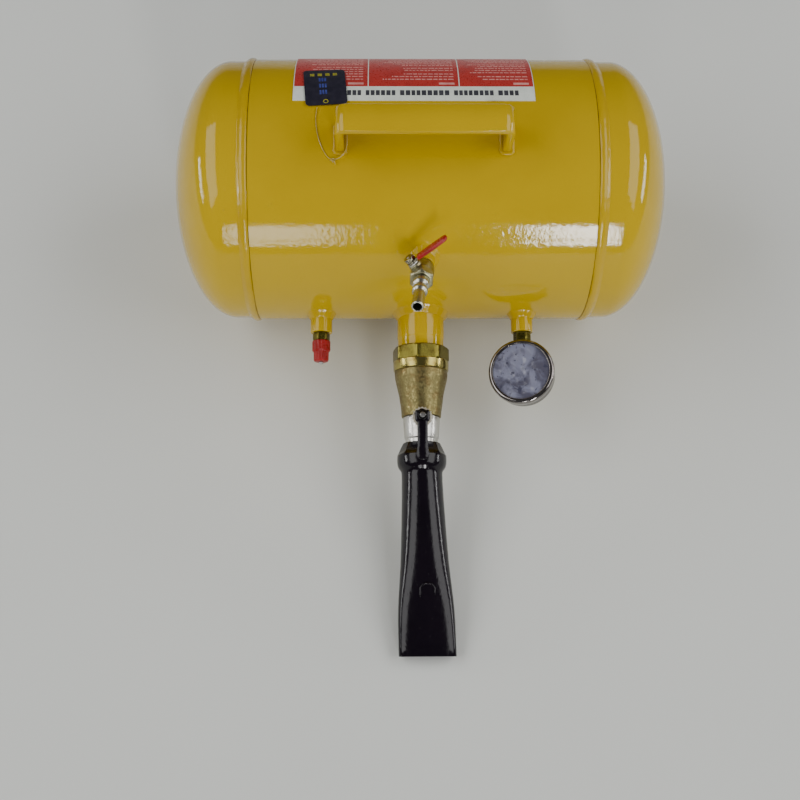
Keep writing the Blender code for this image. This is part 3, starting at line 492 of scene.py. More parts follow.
def seam_wobble(seed):
    shift = Vector((seed, 2 * seed, 0))

    def move(point):
        flat = Vector((point.x, point.y, 0)).normalized()
        around = Vector((flat.x, flat.y, 0))
        fine = noise.noise(around * 21 + shift)
        coarse = noise.noise(around * 5 + shift * 3)
        radius = hypot(point.x, point.y)
        share = max(0.0, min(1.0, (radius - HEAD_R) / (BEAD_R - HEAD_R)))
        radius += (fine * 0.00012 + coarse * 0.0001) * share
        height = point.z + (fine * 0.00025 + coarse * 0.0004) * (1 if radius > HEAD_R else 0)
        return Vector((flat.x * min(radius, BEAD_R), flat.y * min(radius, BEAD_R), height))

    return move


def build_heads():
    for side, matrix, seed in (("left", LEFT, 1.3), ("right", RIGHT, 5.9)):
        bm = lathe(head_profile(40), 192, rippled(0.00030, 9, seed))
        show(bm, "head_skin_" + side, matrix, YELLOW, replaces="head_" + side)
        bm = lathe(seam_profile(), 720, seam_wobble(seed))
        bead = "weld_bead_" + side
        show(bm, "seam_bead_" + side, matrix, BEAD_YELLOW, replaces=bead, angle=60)


def build_handle():
    half = HANDLE_LENGTH / 2
    foot = TANK_R - 0.0010
    corner = (half - HANDLE_BEND, HANDLE_TOP - HANDLE_BEND)
    outer = [(half, foot)] + arc(corner, HANDLE_BEND, 0, 90, 17)
    inner = arc(corner, HANDLE_BEND - HANDLE_THICK, 90, 0, 9) + [(half - HANDLE_THICK, foot)]
    outline = outer + [(-x, y) for x, y in reversed(outer)] + [(-x, y) for x, y in reversed(inner)] + inner
    # The outline runs round anticlockwise, so that its edges round inwards.
    bm = slab(outline, -HANDLE_WIDTH / 2, HANDLE_WIDTH / 2, 0.0010)
    show(bm, "handle_bar", NECK, YELLOW, replaces="handle", angle=50)
    for side, x in (("left", -half + HANDLE_THICK / 2), ("right", half - HANDLE_THICK / 2)):
        build_foot_bead(side, x)


def build_foot_bead(side, x):
    """The weld bead that runs round a foot of the handle, on the shell."""
    wide, deep, corner = HANDLE_THICK / 2 + 0.0010, HANDLE_WIDTH / 2 + 0.0010, 0.0022
    loop = []
    for cx, cy, start in ((1, 1, 0), (-1, 1, 90), (-1, -1, 180), (1, -1, 270)):
        loop += arc((cx * (wide - corner), cy * (deep - corner)), corner, start, start + 90, 6)
    stops = walk(loop + loop[:1], 0.0008)
    path = [Vector((x + px, py, sqrt(TANK_R**2 - py**2) + 0.0004)) for px, py in stops]

    def size(i):
        p = path[i]
        lump = noise.noise(Vector((p.x * 300, p.y * 300, 2.0)))
        return 0.0022 + 0.0004 * lump, 0.9

    bm = sweep(path, size, 12)
    node = "handle_weld_" + side
    show(bm, "foot_bead_" + side, TANK, BEAD_YELLOW, replaces=node, angle=60)


def build_fillet(name, matrix, radius, spread, height, seed, node):
    """The weld fillet round a fitting, from the tank's skin up to the fitting."""
    section = [
        (radius + spread * 1.15, -0.0006), (radius + spread, 0.0003),
        (radius + spread * 0.72, height * 0.26), (radius + spread * 0.42, height * 0.58),
        (radius + spread * 0.18, height * 0.86), (radius - 0.0001, height),
        (radius - 0.0008, height * 0.9), (radius - 0.0008, -0.0006),
    ]
    section = soft(section, 0.0007, 3)
    steps = 120
    bm = bmesh.new()
    rings = []
    for r, h in section:
        ring = []
        for i in range(steps):
            a = 2 * pi * i / steps
            lump = noise.noise(Vector((cos(a) * 4 + seed, sin(a) * 4, r * 60))) * 0.0005
            step = noise.noise(Vector((cos(a) * 14, sin(a) * 14 + seed, 0))) * 0.00022
            grow = (lump + step) if r > radius else 0.0
            x, y = (r + grow) * cos(a), (r + grow) * sin(a)
            ring.append(bm.verts.new((x, y, shell_height(matrix, x, y) + h + grow * 0.6)))
        rings.append(ring)
    join_all(bm, rings, True)
    show(bm, name, matrix, BEAD_YELLOW, replaces=node, angle=60)


def build_ports():
    for name, matrix, end, seed in (
        ("safety", SAFETY, BUSH_END, 2.2),
        ("gauge", GAUGE, BUSH_END, 7.7),
        ("fill", FILL, FILL_BUSH_END, 4.1),
    ):
        wall = [(BUSH_R, end), (BUSH_R, 0.1150), (0.0068, 0.1150), (0.0068, end)]
        bm = lathe(soft(wall, 0.0007, 3), 64, rippled(0.00012, 90, seed))
        show(bm, name + "_socket", matrix, YELLOW, replaces=name + "_bushing")
        build_fillet(name + "_fillet", matrix, BUSH_R, 0.0034, 0.0056, seed, name + "_bushing_weld")


def build_neck():
    profile = [
        (0.0203, 0.1685), (0.0208, 0.1680), (0.0208, NECK_END - 0.0004), (0.0210, 0.1450),
        (NECK_R, 0.1440), (NECK_R, 0.1120), (0.0176, 0.1120), (0.0176, 0.1685),
    ]
    bm = lathe(soft(profile, 0.0004, 3), 96, rippled(0.00010, 60, 8.8))
    show(bm, "neck_tube", NECK, YELLOW, replaces="neck_pipe")
    build_fillet("neck_fillet", NECK, NECK_R, 0.0044, 0.0062, 3.3, "neck_weld")


# ---------------------------------------------------------------- label, tag and thread
def on_tank(x, degrees_back, lift):
    """A point over the shell's top, the angle measured back from the handle."""
    a = radians(degrees_back)
    radius = TANK_R + lift
    return Vector((x, radius * sin(a), radius * cos(a)))


def close_sheets(bm, under, over):
    """The faces of a thin plate from two sheets, each a list of (left, right) points."""
    for i in range(len(under) - 1):
        bm.faces.new((over[i][0], over[i][1], over[i + 1][1], over[i + 1][0]))
        bm.faces.new((under[i][0], under[i + 1][0], under[i + 1][1], under[i][1]))
        bm.faces.new((under[i][0], over[i][0], over[i + 1][0], under[i + 1][0]))
        bm.faces.new((under[i][1], under[i + 1][1], over[i + 1][1], over[i][1]))
    bm.faces.new((under[0][0], under[0][1], over[0][1], over[0][0]))
    bm.faces.new((under[-1][0], over[-1][0], over[-1][1], under[-1][1]))


def patch(bm, left, right, near, far, low, high, corner=0.0):
    """A thin curved rectangle on the shell, angles in degrees back from the handle, lifts in metres."""
    rows = max(1, ceil(abs(far - near) / 1.5))
    sheets = []
    for lift in (low, high):
        sheet = []
        for i in range(rows + 1):
            angle = near + (far - near) * i / rows
            inset = corner if i in (0, rows) else 0.0
            sheet.append([bm.verts.new(on_tank(x, angle, lift)) for x in (left + inset, right - inset)])
        sheets.append(sheet)
    close_sheets(bm, *sheets)


LABEL_LEFT, LABEL_RIGHT = -0.1118, 0.0967
LABEL_NEAR, LABEL_FAR = 18, 76
PANEL_NEAR, PANEL_FAR = 26.4, 75.8
LABEL_TOP = 0.0007
DIVIDERS = (-0.0471, 0.0318)


def build_label():
    bm = bmesh.new()
    patch(bm, LABEL_LEFT, LABEL_RIGHT, LABEL_NEAR, LABEL_FAR, 0.0001, LABEL_TOP)
    show(bm, "label_sheet", TANK, LABEL_WHITE, replaces="label")
    bm = bmesh.new()
    edges = [LABEL_LEFT + 0.0002, *DIVIDERS, LABEL_RIGHT - 0.0002]
    for left, right in zip(edges, edges[1:]):
        low, high = LABEL_TOP - 0.0001, LABEL_TOP + 0.00004
        patch(bm, left + 0.00045, right - 0.00045, PANEL_NEAR, PANEL_FAR, low, high)
    show(bm, "label_panels", TANK, LABEL_RED)
    build_print(edges)


def build_print(edges):
    """Plain bars in place of the label's words. Each line is a row of short bars, even at the right."""
    rng = random.Random(7)
    low, high = LABEL_TOP - 0.00004, LABEL_TOP + 0.00008
    bm = bmesh.new()
    for left, right in zip(edges, edges[1:]):
        patch(bm, right - 0.0175, right - 0.0040, 27.6, 29.0, low, high)
        angle = 31.0
        while angle < 72:
            x = right - 0.0045
            end = left + (right - left) * rng.uniform(0.12, 0.42)
            while x > end:
                width = rng.uniform(0.0016, 0.0052)
                patch(bm, max(x - width, end), x, angle, angle + 0.75, low, high)
                x -= width + 0.0010
            angle += 2.15 if rng.random() < 0.8 else 3.4
    show(bm, "label_small_print", TANK, INK_WHITE)
    bm = bmesh.new()
    x = LABEL_RIGHT - 0.0140
    for letters in (4, 8, 9, 6, 4):
        for _ in range(letters):
            width = rng.uniform(0.0030, 0.0040)
            patch(bm, x - width, x, 20.9, 23.9, low, high)
            x -= width + 0.0011
        x -= 0.0030
    show(bm, "label_heading", TANK, INK_DARK)


TAG_X, TAG_ANGLE, TAG_TILT = -0.0843, 26.7, radians(4.5)
TAG_HALF_WIDTH, TAG_HALF_LENGTH = 0.0180, 0.0240
TAG_LIFT, TAG_TOP = 0.0012, 0.0018


def on_tag(u, v, lift):
    """A point on the card: u across it, v along it and away from the handle."""
    x = TAG_X + u * cos(TAG_TILT) - v * sin(TAG_TILT)
    y = v * cos(TAG_TILT) + u * sin(TAG_TILT)
    return on_tank(x, TAG_ANGLE + y / (TANK_R + TAG_LIFT) * 180 / pi, lift)


def card_patch(bm, u0, u1, v0, v1, low, high, corner=0.0, steps=12):
    """A thin plate on the card with rounded corners."""
    outline = []
    for cx, cy, start in ((u1, v1, 0), (u0, v1, 90), (u0, v0, 180), (u1, v0, 270)):
        sign_x = -1 if cx == u1 else 1
        sign_y = -1 if cy == v1 else 1
        outline += arc((cx + sign_x * corner, cy + sign_y * corner), max(corner, 1e-5), start, start + 90, 6)
    even = {round(v0 + (v1 - v0) * i / steps, 6) for i in range(steps + 1)}
    rows = sorted({round(v, 6) for _, v in outline} | even)

    def reach(v):
        """The left and right ends of the plate at v."""
        inset = 0.0
        edge = min(v - v0, v1 - v)
        if edge < corner:
            inset = corner - sqrt(max(0.0, corner**2 - (corner - edge) ** 2))
        return u0 + inset, u1 - inset

    sheets = []
    for lift in (low, high):
        sheets.append([[bm.verts.new(on_tag(u, v, lift)) for u in reach(v)] for v in rows])
    close_sheets(bm, *sheets)


def build_tag():
    bm = bmesh.new()
    across, along = TAG_HALF_WIDTH, TAG_HALF_LENGTH
    card_patch(bm, -across, across, -along, along, TAG_LIFT, TAG_TOP, 0.0035, 24)
    card = show(bm, "tag_card", TANK, CARD, replaces="hang_tag")
    ink_low, ink_high = TAG_TOP - 0.00005, TAG_TOP + 0.00006
    bm = bmesh.new()
    for i in range(4):
        u = -0.0105 + 0.0066 * i
        for dv in (-0.0015, 0.0, 0.0015):
            low, high = 0.0155 + dv - 0.0005, 0.0155 + dv + 0.0005
            card_patch(bm, u - 0.0019, u + 0.0019, low, high, ink_low, ink_high, 0.0002, 1)
    marks = show(bm, "tag_yellow_marks", TANK, INK_YELLOW)
    bm = bmesh.new()
    for v in (0.0075, -0.0010, -0.0095):
        for du in (-0.0024, 0.0, 0.0024):
            card_patch(bm, du - 0.0028, du - 0.0012, v - 0.0026, v + 0.0026, ink_low, ink_high, 0.0003, 2)
    blue = show(bm, "tag_blue_marks", TANK, INK_BLUE)
    bm = bmesh.new()
    angles = [2 * pi * i / 24 for i in range(24)]
    ring = [on_tag(-0.0005 + 0.0019 * cos(a), -0.0205 + 0.0019 * sin(a), TAG_TOP) for a in angles]
    eyelet = show(sweep(ring, lambda i: (0.0004, 0.6), 8), "tag_eyelet", TANK, INK_YELLOW)
    return [card, marks, blue, eyelet]


THREAD_STOPS = (
    (-0.0905, 14.2, 0.0012), (-0.0913, 11.0, 0.0009), (-0.0912, 6.0, 0.0009),
    (-0.0890, 0.0, 0.0009), (-0.0850, -5.0, 0.0009), (-0.0800, -8.4, 0.0009),
    (-0.0745, -8.9, 0.0016), (-0.0693, -8.0, 0.0036), (-0.0656, -5.4, 0.0054),
    (-0.0645, 0.0, 0.0060), (-0.0650, 5.4, 0.0054), (-0.0690, 10.5, 0.0026),
    (-0.0740, 14.6, 0.0012),
)
THREAD_R = 0.0004


def smooth_route(stops, steps):
    """Points on a smooth curve through the stops."""
    points = [on_tank(*stop) for stop in stops]
    padded = [2 * points[0] - points[1]] + points + [2 * points[-1] - points[-2]]
    route = []
    for a, b, c, d in zip(padded, padded[1:], padded[2:], padded[3:]):
        slope = (c - a) / 2
        next_slope = (d - b) / 2
        bend = 3 * (c - b) - 2 * slope - next_slope
        twist = 2 * (b - c) + slope + next_slope
        for i in range(steps):
            t = i / steps
            route.append(b + slope * t + bend * t * t + twist * t * t * t)
    return route + [points[-1]]


def build_thread(card_pieces):
    route = [TANK @ p for p in smooth_route(THREAD_STOPS, 6)]
    curve = bpy.data.curves.new("tag_loop", "CURVE")
    curve.dimensions = "3D"
    curve.bevel_depth = THREAD_R
    curve.bevel_resolution = 3
    curve.use_fill_caps = True
    spline = curve.splines.new("POLY")
    spline.points.add(len(route) - 1)
    for point, place in zip(spline.points, route):
        point.co = (*place, 1)
    curve.materials.append(THREAD)
    loop = placed("tag_loop", curve)
    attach(loop, "tank")
    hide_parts("tag_thread")
    centre = on_tank(-0.0762, -9.3, 0.0016)
    across, ahead = Vector((1, 0, 0)), Vector((0, -cos(radians(9)), -sin(radians(9))))
    knot = []
    for i in range(60):
        t = 2 * pi * i / 60
        r = 0.0010 + 0.00045 * cos(3 * t)
        lift = Vector((0, 0, 0.0006 * sin(3 * t)))
        knot.append(centre + across * r * cos(2 * t) + ahead * r * sin(2 * t) + lift)
    lump = show(sweep(knot, lambda i: (0.00038, 1.0), 8), "tag_knot", TANK, THREAD)
    for name, reach in (("tag_tail_a", (-0.0030, 0.0006)), ("tag_tail_b", (0.0016, 0.0038))):
        end = centre + across * reach[0] + ahead * reach[1] + Vector((0, 0, 0.0002))
        path = [centre.lerp(end, k / 8) + Vector((0, 0, 0.0006 * sin(pi * k / 8))) for k in range(9)]
        bm = sweep(path, lambda i: (0.00036, 1.0), 8, False)
        show(bm, name, TANK, THREAD)


# ---------------------------------------------------------------- main valve and nozzle
def build_inlet():
    """The brass end: an octagon with long turned corners, and the cast cone that runs down to the valve."""
    flats, low, high = 0.0482, NECK_END + 0.0003, 0.1752
    bore, seat = 0.0172, 0.0214
    corner = flats / 2 / cos(pi / 8) - 0.0002
    full = faceted(8, flats, corner)
    collar = [
        (0.0232, high), (0.0246, high - 0.0003), (0.0251, high - 0.0012), (0.0254, high - 0.0086),
        (0.0250, high - 0.0092), (seat, high - 0.0092), (seat, 0.1690), (bore, 0.1690),
        (bore, high),
    ]
    show(lathe(collar, 128), "inlet_collar", NECK, BRASS_BRIGHT)
    profile = [
        (seat, high - 0.0094), (faceted(8, flats, corner - 0.0008), high - 0.0094),
        (full, high - 0.0102), (full, low + 0.0020),
        (faceted(8, flats, corner - 0.0010), low + 0.0011),
        (faceted(8, flats, corner - 0.0022), low + 0.0003), (0.0232, low), (seat, low),
    ]
    bm = lathe(profile, 160)
    show(bm, "inlet_octagon", turned(NECK, 9), BRASS, replaces="main_inlet_end", angle=24)
    cone = [
        (0.0149, 0.2173), (0.0176, 0.2173), (0.0179, 0.2169), (0.0182, 0.2120), (0.0192, 0.2055),
        (0.0203, 0.1970), (0.0222, 0.1885), (0.0238, 0.1815), (0.0241, 0.1775),
        (0.0240, high - 0.0006), (bore, high - 0.0006), (bore, 0.1760), (0.0080, 0.1900),
        (0.0080, 0.2052), (0.0149, 0.2052),
    ]
    bm = lathe(soft(cone, 0.0012, 3), 120, rippled(0.0002, 120, 6.6))
    show(bm, "inlet_cone", NECK, BRASS_CAST, angle=40)


def build_valve_body():
    profile = [
        (0.0140, 0.2520), (0.0145, 0.2515), (0.0145, 0.2378), (0.0153, 0.2371), (0.0158, 0.2330),
        (0.0161, 0.2280), (0.0164, 0.2235), (0.0165, 0.2178), (0.0146, 0.2176), (0.0146, 0.2056),
        (0.0129, 0.2056), (0.0129, 0.2334), (0.0080, 0.2334), (0.0080, 0.2520),
    ]
    bm = lathe(soft(profile, 0.0003, 2), 96)
    show(bm, "valve_barrel", NECK, BRIGHT_NICKEL, replaces="main_valve_body")
    boss = [(0.0072, 0.0242), (0.0072, 0.0150), (0.0058, 0.0150), (0.0058, 0.0242)]
    show(lathe(soft(boss, 0.0003, 2), 64), "stem_boss", MAIN_STEM, BRIGHT_NICKEL)
    bm = hexagon(0.0130, 0.0262, 0.0290, 0.0037)
    show(bm, "gland_nut", turned(MAIN_STEM, 40), BLACK, replaces="main_gland_nut")

    def toothed(a):
        return 0.0094 - 0.0012 * (0.5 + 0.5 * cos(18 * a)) ** 0.5

    skirt = [(0.0070, 0.0261), (toothed, 0.0259), (toothed, 0.0247), (0.0086, 0.0245)]
    skirt += [(0.0037, 0.0245), (0.0037, 0.0261)]
    show(lathe(skirt, 180), "gland_collar", MAIN_STEM, SATIN, angle=40)


def build_lever():
    stem = [
        (0, 0.0368), (0.0020, 0.0368), (0.0024, 0.0364), (0.0024, 0.0293), (0.0034, 0.0292),
        (0.0035, 0.0290), (0.0035, 0.0122), (0, 0.0122),
    ]
    show(lathe(stem, 48), "valve_stem", MAIN_STEM, STEEL, "main_lever_set", "main_stem")
    eye, deep, strip, wide, tip = 0.0066, 0.0050, 0.0046, 0.0057, 0.0395
    corner = 0.0018
    outline = []
    for x, y, start in ((1, -1, -90), (1, 1, 0), (-1, 1, 90), (-1, -1, 180)):
        outline += arc((x * (eye - corner), y * (deep - corner)), corner, start, start + 90, 7)
    outline += [(-strip - 0.0004, -deep - 0.0001), (-strip, -deep - 0.0010)]
    outline += [(-strip, -0.0270), (-0.0051, -0.0310)]
    outline += arc((0, -tip + wide), wide, 180, 360, 24)
    outline += [(0.0051, -0.0310), (strip, -0.0270)]
    outline += [(strip, -deep - 0.0010), (strip + 0.0004, -deep - 0.0001)]
    hole = arc((0, 0), 0.0027, 0, 345, 24)
    bm = slab(outline, 0.0296, 0.0320, 0.0006, [hole])
    show(bm, "lever_arm", MAIN_STEM, BLACK, "main_lever_set", "main_lever", angle=60)
    bm = hexagon(0.0080, 0.0323, 0.0360, 0.0027)
    show(bm, "lever_nut", turned(MAIN_STEM, 50), DARK_STEEL, "main_lever_set", "main_lever_nut")


FAN = (
    (0.2740, 0.0184, 0.0184, 2.0), (0.2900, 0.0188, 0.0179, 2.05), (0.3050, 0.0194, 0.0172, 2.1),
    (0.3200, 0.0200, 0.0164, 2.15), (0.3350, 0.0207, 0.0155, 2.2), (0.3500, 0.0216, 0.0143, 2.3),
    (0.3600, 0.0224, 0.0133, 2.4), (0.3700, 0.0233, 0.0122, 2.55), (0.3800, 0.0242, 0.0110, 2.7),
    (0.3900, 0.0248, 0.0100, 2.85), (0.4000, 0.0251, 0.0092, 2.95), (0.4100, 0.0252, 0.0084, 3.05),
    (0.4190, 0.0252, 0.0078, 3.15), (NOZZLE_END, MOUTH_HALF_WIDTH, MOUTH_HALF_HEIGHT, 3.2),
)


def fan_at(z):
    """Half width, half height and power of the nozzle's section at z."""
    for low, high in zip(FAN, FAN[1:]):
        if z <= high[0]:
            t = max(0.0, (z - low[0]) / (high[0] - low[0]))
            return tuple(a + (b - a) * t for a, b in zip(low[1:], high[1:]))
    return FAN[-1][1:]


def fan_shift(z):
    return max(0.0, z - 0.2680) * tan(NOZZLE_LEAN)


def fan_top(x, z):
    """The height of the nozzle's upper side over a point."""
    width, height, power = fan_at(z)
    share = min(1.0, abs(x - fan_shift(z)) / width)
    return height * (1 - share**power) ** (1 / power)


def fan_ring(bm, z, width, height, power, count=96, facets=0.0):
    ring = []
    for i in range(count):
        a = 2 * pi * i / count
        x = width * abs(cos(a)) ** (2 / power) * (1 if cos(a) >= 0 else -1)
        y = height * abs(sin(a)) ** (2 / power) * (1 if sin(a) >= 0 else -1)
        if facets:
            flat = cos(pi / 8) / cos(a % (pi / 4) - pi / 8)
            x, y = x * (1 + (flat - 1) * facets), y * (1 + (flat - 1) * facets)
        ring.append(bm.verts.new((x + fan_shift(z), y, z)))
    return ring


def build_nozzle():
    """The hub with its eight-sided shoulder, and the tube that flattens into a fan with a lip."""
    hub = [
        (0.2412, 0.0160, 0.0), (0.2414, 0.0168, 0.3), (0.2450, 0.0186, 1.0), (0.2490, 0.0204, 1.0),
        (0.2508, 0.0212, 0.9), (0.2520, 0.0219, 0.2), (0.2530, 0.0222, 0.0), (0.2570, 0.0223, 0.0),
        (0.2605, 0.0221, 0.0), (0.2630, 0.0214, 0.0), (0.2650, 0.0202, 0.0), (0.2664, 0.0191, 0.0),
        (0.2680, 0.01855, 0.0), (0.2705, 0.0184, 0.0),
    ]
    wall = 0.0022
    lip = 0.4200
    bm = bmesh.new()
    rings = [fan_ring(bm, z, r, r, 2.0, facets=f) for z, r, f in hub]
    zs = [0.2740 + (lip - 0.2740) * i / 60 for i in range(61)]
    rings += [fan_ring(bm, z, *fan_at(z)) for z in zs]
    growth = [(lip + 0.0004, 0.0), (lip + 0.0007, 0.0002), (lip + 0.0012, 0.00026)]
    for z, grow in growth + [(0.4288, 0.00015), (NOZZLE_END, -0.0002)]:
        w, h, p = fan_at(z)
        rings.append(fan_ring(bm, z, w + grow * 0.3, h + grow, p))
    for z in [NOZZLE_END, 0.4280] + list(reversed(zs)):
        w, h, p = fan_at(z)
        inset = wall - (0.0004 if z == NOZZLE_END else 0.0)
        rings.append(fan_ring(bm, z, w - inset, h - inset, p))
    for z, r in ((0.2640, 0.0135), (0.2550, 0.0130), (0.2545, 0.0148), (0.2412, 0.0148)):
        rings.append(fan_ring(bm, z, r, r, 2.0))
    join_all(bm, rings, True)
    show(bm, "nozzle_casting", NECK, BLACK, replaces="nozzle", angle=30)
    build_nozzle_mark()


def build_nozzle_mark():
    """The raised hoop that is cast on the fan's upper side, open towards the mouth."""
    centre_z, centre_x, radius = 0.3730, fan_shift(0.3730) + 0.0012, 0.0064
    flat = [(centre_x - radius, centre_z + 0.0062)]
    flat += arc((centre_x, centre_z), radius, 180, 360, 25)
    flat += [(centre_x + radius, centre_z + 0.0050)]
    path = [Vector((x, fan_top(x, z) + 0.0001, z)) for x, z in walk(flat, 0.0006)]

    def size(i):
        end = min(i, len(path) - 1 - i)
        return 0.0010 * min(1.0, 0.35 + end * 0.16), 1.0

    show(sweep(path, size, 10, False), "nozzle_hoop", NECK, BLACK, angle=60)


# ---------------------------------------------------------------- fill valve and hose plug
def build_fill_valve():
    body = [
        (0.0086, 0.1573), (0.0093, 0.1566), (0.0093, 0.1480), (0.0099, 0.1465), (0.0100, 0.1420),
        (0.0099, 0.1385), (0.0088, FILL_BUSH_END + 0.0003), (0.0065, FILL_BUSH_END + 0.0003),
        (0.0065, 0.1240), (0.0030, 0.1240), (0.0030, 0.1370), (0.0066, 0.1370), (0.0066, 0.1573),
    ]
    bm = lathe(soft(body, 0.0005, 3), 72)
    show(bm, "fill_barrel", FILL, NICKEL_WITH_PAINTED_REFLECTION, replaces="fill_valve_body")
    bm = hexagon(0.0192, 0.1470, 0.1568, 0.0070, 6, 0.0016)
    show(bm, "fill_hex", turned(FILL, 30), NICKEL_WITH_PAINTED_REFLECTION)
    boss = [(0.0051, 0.0112), (0.0056, 0.0106), (0.0060, 0.0080)]
    boss += [(0.0066, 0.0060), (0.0023, 0.0060), (0.0023, 0.0112)]
    show(lathe(soft(boss, 0.0003, 2), 48), "fill_boss", FILL_STEM, NICKEL_WITH_PAINTED_REFLECTION)
    washer = [(0.0049, 0.0115), (0.0049, 0.0127), (0.0023, 0.0127), (0.0023, 0.0115)]
    bm = lathe(soft(washer, 0.0002, 2), 48)
    show(bm, "fill_spacer", FILL_STEM, BRIGHT_NICKEL, replaces="fill_washer")
    stem = [(0, 0.0190), (0.0013, 0.0190), (0.0016, 0.0187), (0.0016, 0.0130)]
    stem += [(0.0020, 0.0129), (0.0020, 0.0062), (0, 0.0062)]
    show(lathe(stem, 32), "fill_spindle", FILL_STEM, STEEL, "fill_lever_set", "fill_stem")
    eye, strip = 0.0049, 0.0021
    meet = sqrt(eye * eye - strip * strip)
    outline = arc((0, 0), eye, 296, 296 + 308, 40)
    outline += [(-strip, -meet - 0.001), (-strip, -0.0370), (strip, -0.0370)]
    outline += [(strip, -meet - 0.001)]
    hole = arc((0, 0), 0.0019, 0, 340, 18)
    bm = slab(outline, 0.0130, 0.0144, 0.0003, [hole])
    show(bm, "fill_arm", FILL_STEM, DARK_NICKEL, "fill_lever_set", "fill_lever", angle=60)
    bm = hexagon(0.0090, 0.0147, 0.0188, 0.0019)
    show(bm, "fill_nut", turned(FILL_STEM, 38), DARK_NICKEL, "fill_lever_set", "fill_lever_nut")
    build_sleeve()
    build_plug()


def build_sleeve():
    """The dipped red sleeve: a flat oval that swells a little and rounds off at its tip."""
    sections = []
    root, tip = -0.0070, -0.0385
    count = 40
    for i in range(count + 1):
        t = i / count
        y = root + (tip - root) * t
        wide = 0.0035 + 0.0011 * sin(pi * min(1.0, 0.12 + t * 0.8))
        thick = 0.0021
        if t > 0.90:
            shrink = sqrt(max(0.0, 1 - ((t - 0.90) / 0.10) ** 2))
            wide, thick = wide * (0.35 + 0.65 * shrink), thick * (0.3 + 0.7 * shrink)
        if t < 0.04:
            wide, thick = wide * (0.93 + 0.07 * t / 0.04), thick * (0.9 + 0.1 * t / 0.04)
        sections.append((y, wide, thick))
    bm = bmesh.new()
    rings = []
    for y, wide, thick in sections:
        ring = []
        for k in range(32):
            a = 2 * pi * k / 32
            x = wide * abs(cos(a)) ** 0.9 * (1 if cos(a) >= 0 else -1)
            z = thick * abs(sin(a)) ** 0.7 * (1 if sin(a) >= 0 else -1)
            ring.append(bm.verts.new((x, y, 0.0137 + z)))
        rings.append(ring)
    join_all(bm, rings)
    bm.faces.new(rings[0])
    bm.faces.new(rings[-1])
    body, node = "fill_lever_set", "fill_lever_sleeve"
    show(bm, "fill_sleeve", FILL_STEM, RED_SLEEVE, body, node, angle=60)


def build_plug():
    profile = [
        (0.0046, 0.1968), (0.0052, 0.1960), (0.0052, 0.1800), (0.0049, 0.1790), (0.0049, 0.1765),
        (0.0058, 0.1752), (0.0066, 0.1742), (0.0066, 0.1714), (0.0050, 0.1694), (0.0050, 0.1662),
        (0.0068, 0.1647), (0.0072, 0.1638), (0.0072, 0.1585), (0.0068, 0.1576), (0.0063, 0.1576),
        (0.0063, 0.1504), (0.0038, 0.1504), (0.0038, 0.1968),
    ]
    bm = lathe(soft(profile, 0.0004, 3), 72)
    show(bm, "air_plug", FILL, PLUG_NICKEL, replaces="hose_plug", angle=40)


# ---------------------------------------------------------------- safety valve
def fluted(radius, depth, count):
    return lambda a: radius - depth * (0.5 - 0.5 * cos(count * a)) ** 2


def build_safety_valve():
    core = [(0.0050, 0.1530), (0.0050, BUSH_END + 0.0003), (0.0065, BUSH_END + 0.0003), (0.0065, 0.1262)]
    core += [(0.0020, 0.1262), (0.0020, 0.1470), (0.0042, 0.1470), (0.0042, 0.1530)]
    show(lathe(core, 64), "safety_core", SAFETY, BRASS, replaces="safety_body")
    bm = hexagon(0.0138, BUSH_END + 0.0003, 0.1455, 0.0046)
    show(bm, "safety_hex", turned(SAFETY, 50), BRASS)
    ribs = 14
    profile = [
        (0.0030, 0.1650), (0.0056, 0.1649), (0.0064, 0.1645),
        (fluted(0.0068, 0.0003, ribs), 0.1637), (fluted(0.0069, 0.0005, ribs), 0.1600),
        (fluted(0.0070, 0.0005, ribs), 0.1565), (fluted(0.0073, 0.0003, ribs), 0.1557),
        (fluted(0.0080, 0.0001, ribs), 0.1552), (0.0083, 0.1546),
        (fluted(0.0083, 0.0005, ribs), 0.1535), (fluted(0.0083, 0.0006, ribs), 0.1475),
        (fluted(0.0083, 0.0004, ribs), 0.1465), (0.0080, 0.1458), (0.0053, 0.1458),
        (0.0053, 0.1534), (0.0042, 0.1536), (0.0042, 0.1622), (0.00138, 0.1622), (0.00138, 0.1650),
    ]
    bm = lathe(profile, 168)
    show(bm, "safety_hood", SAFETY, RED_CAP, replaces="safety_cap", angle=40)
    tip = [(0, 0.1670), (0.0015, 0.1670), (0.0021, 0.1665)]
    tip += [(0.0022, 0.1660), (0.0020, 0.1654), (0.0013, 0.1650)]
    tip += [(0.0013, 0.1493), (0.0038, 0.1493), (0.0038, 0.1473), (0, 0.1473)]
    show(lathe(tip, 40), "safety_pin", SAFETY, STEEL, "safety_poppet_body", "safety_poppet")


# ---------------------------------------------------------------- gauge
def build_gauge():
    case = [
        (0, -0.0100), (0.0250, -0.0100), (0.0275, -0.0078), (0.0275, 0.0103), (0.0285, 0.0103),
        (0.0286, -0.0076), (0.0280, -0.0096), (0.0262, -0.0110), (0.0200, -0.0113), (0, -0.0113),
    ]
    bm = lathe(soft(case, 0.0008, 3, False), 128)
    show(bm, "gauge_pan", DIAL, DARK_CHROME, replaces="gauge_case")
    bezel = [
        (0.0258, 0.0141), (0.0276, 0.0141), (0.0288, 0.0136), (0.0297, 0.0126), (0.0300, 0.0110),
        (0.0300, 0.0062), (0.0296, 0.0056), (0.0288, 0.0056), (0.0288, 0.0123), (0.0258, 0.0123),
    ]
    bm = lathe(soft(bezel, 0.0005, 4), 160)
    show(bm, "gauge_rim", DIAL, RIM_CHROME, replaces="gauge_bezel", angle=40)
    build_socket()
    build_glass()
    build_dial()


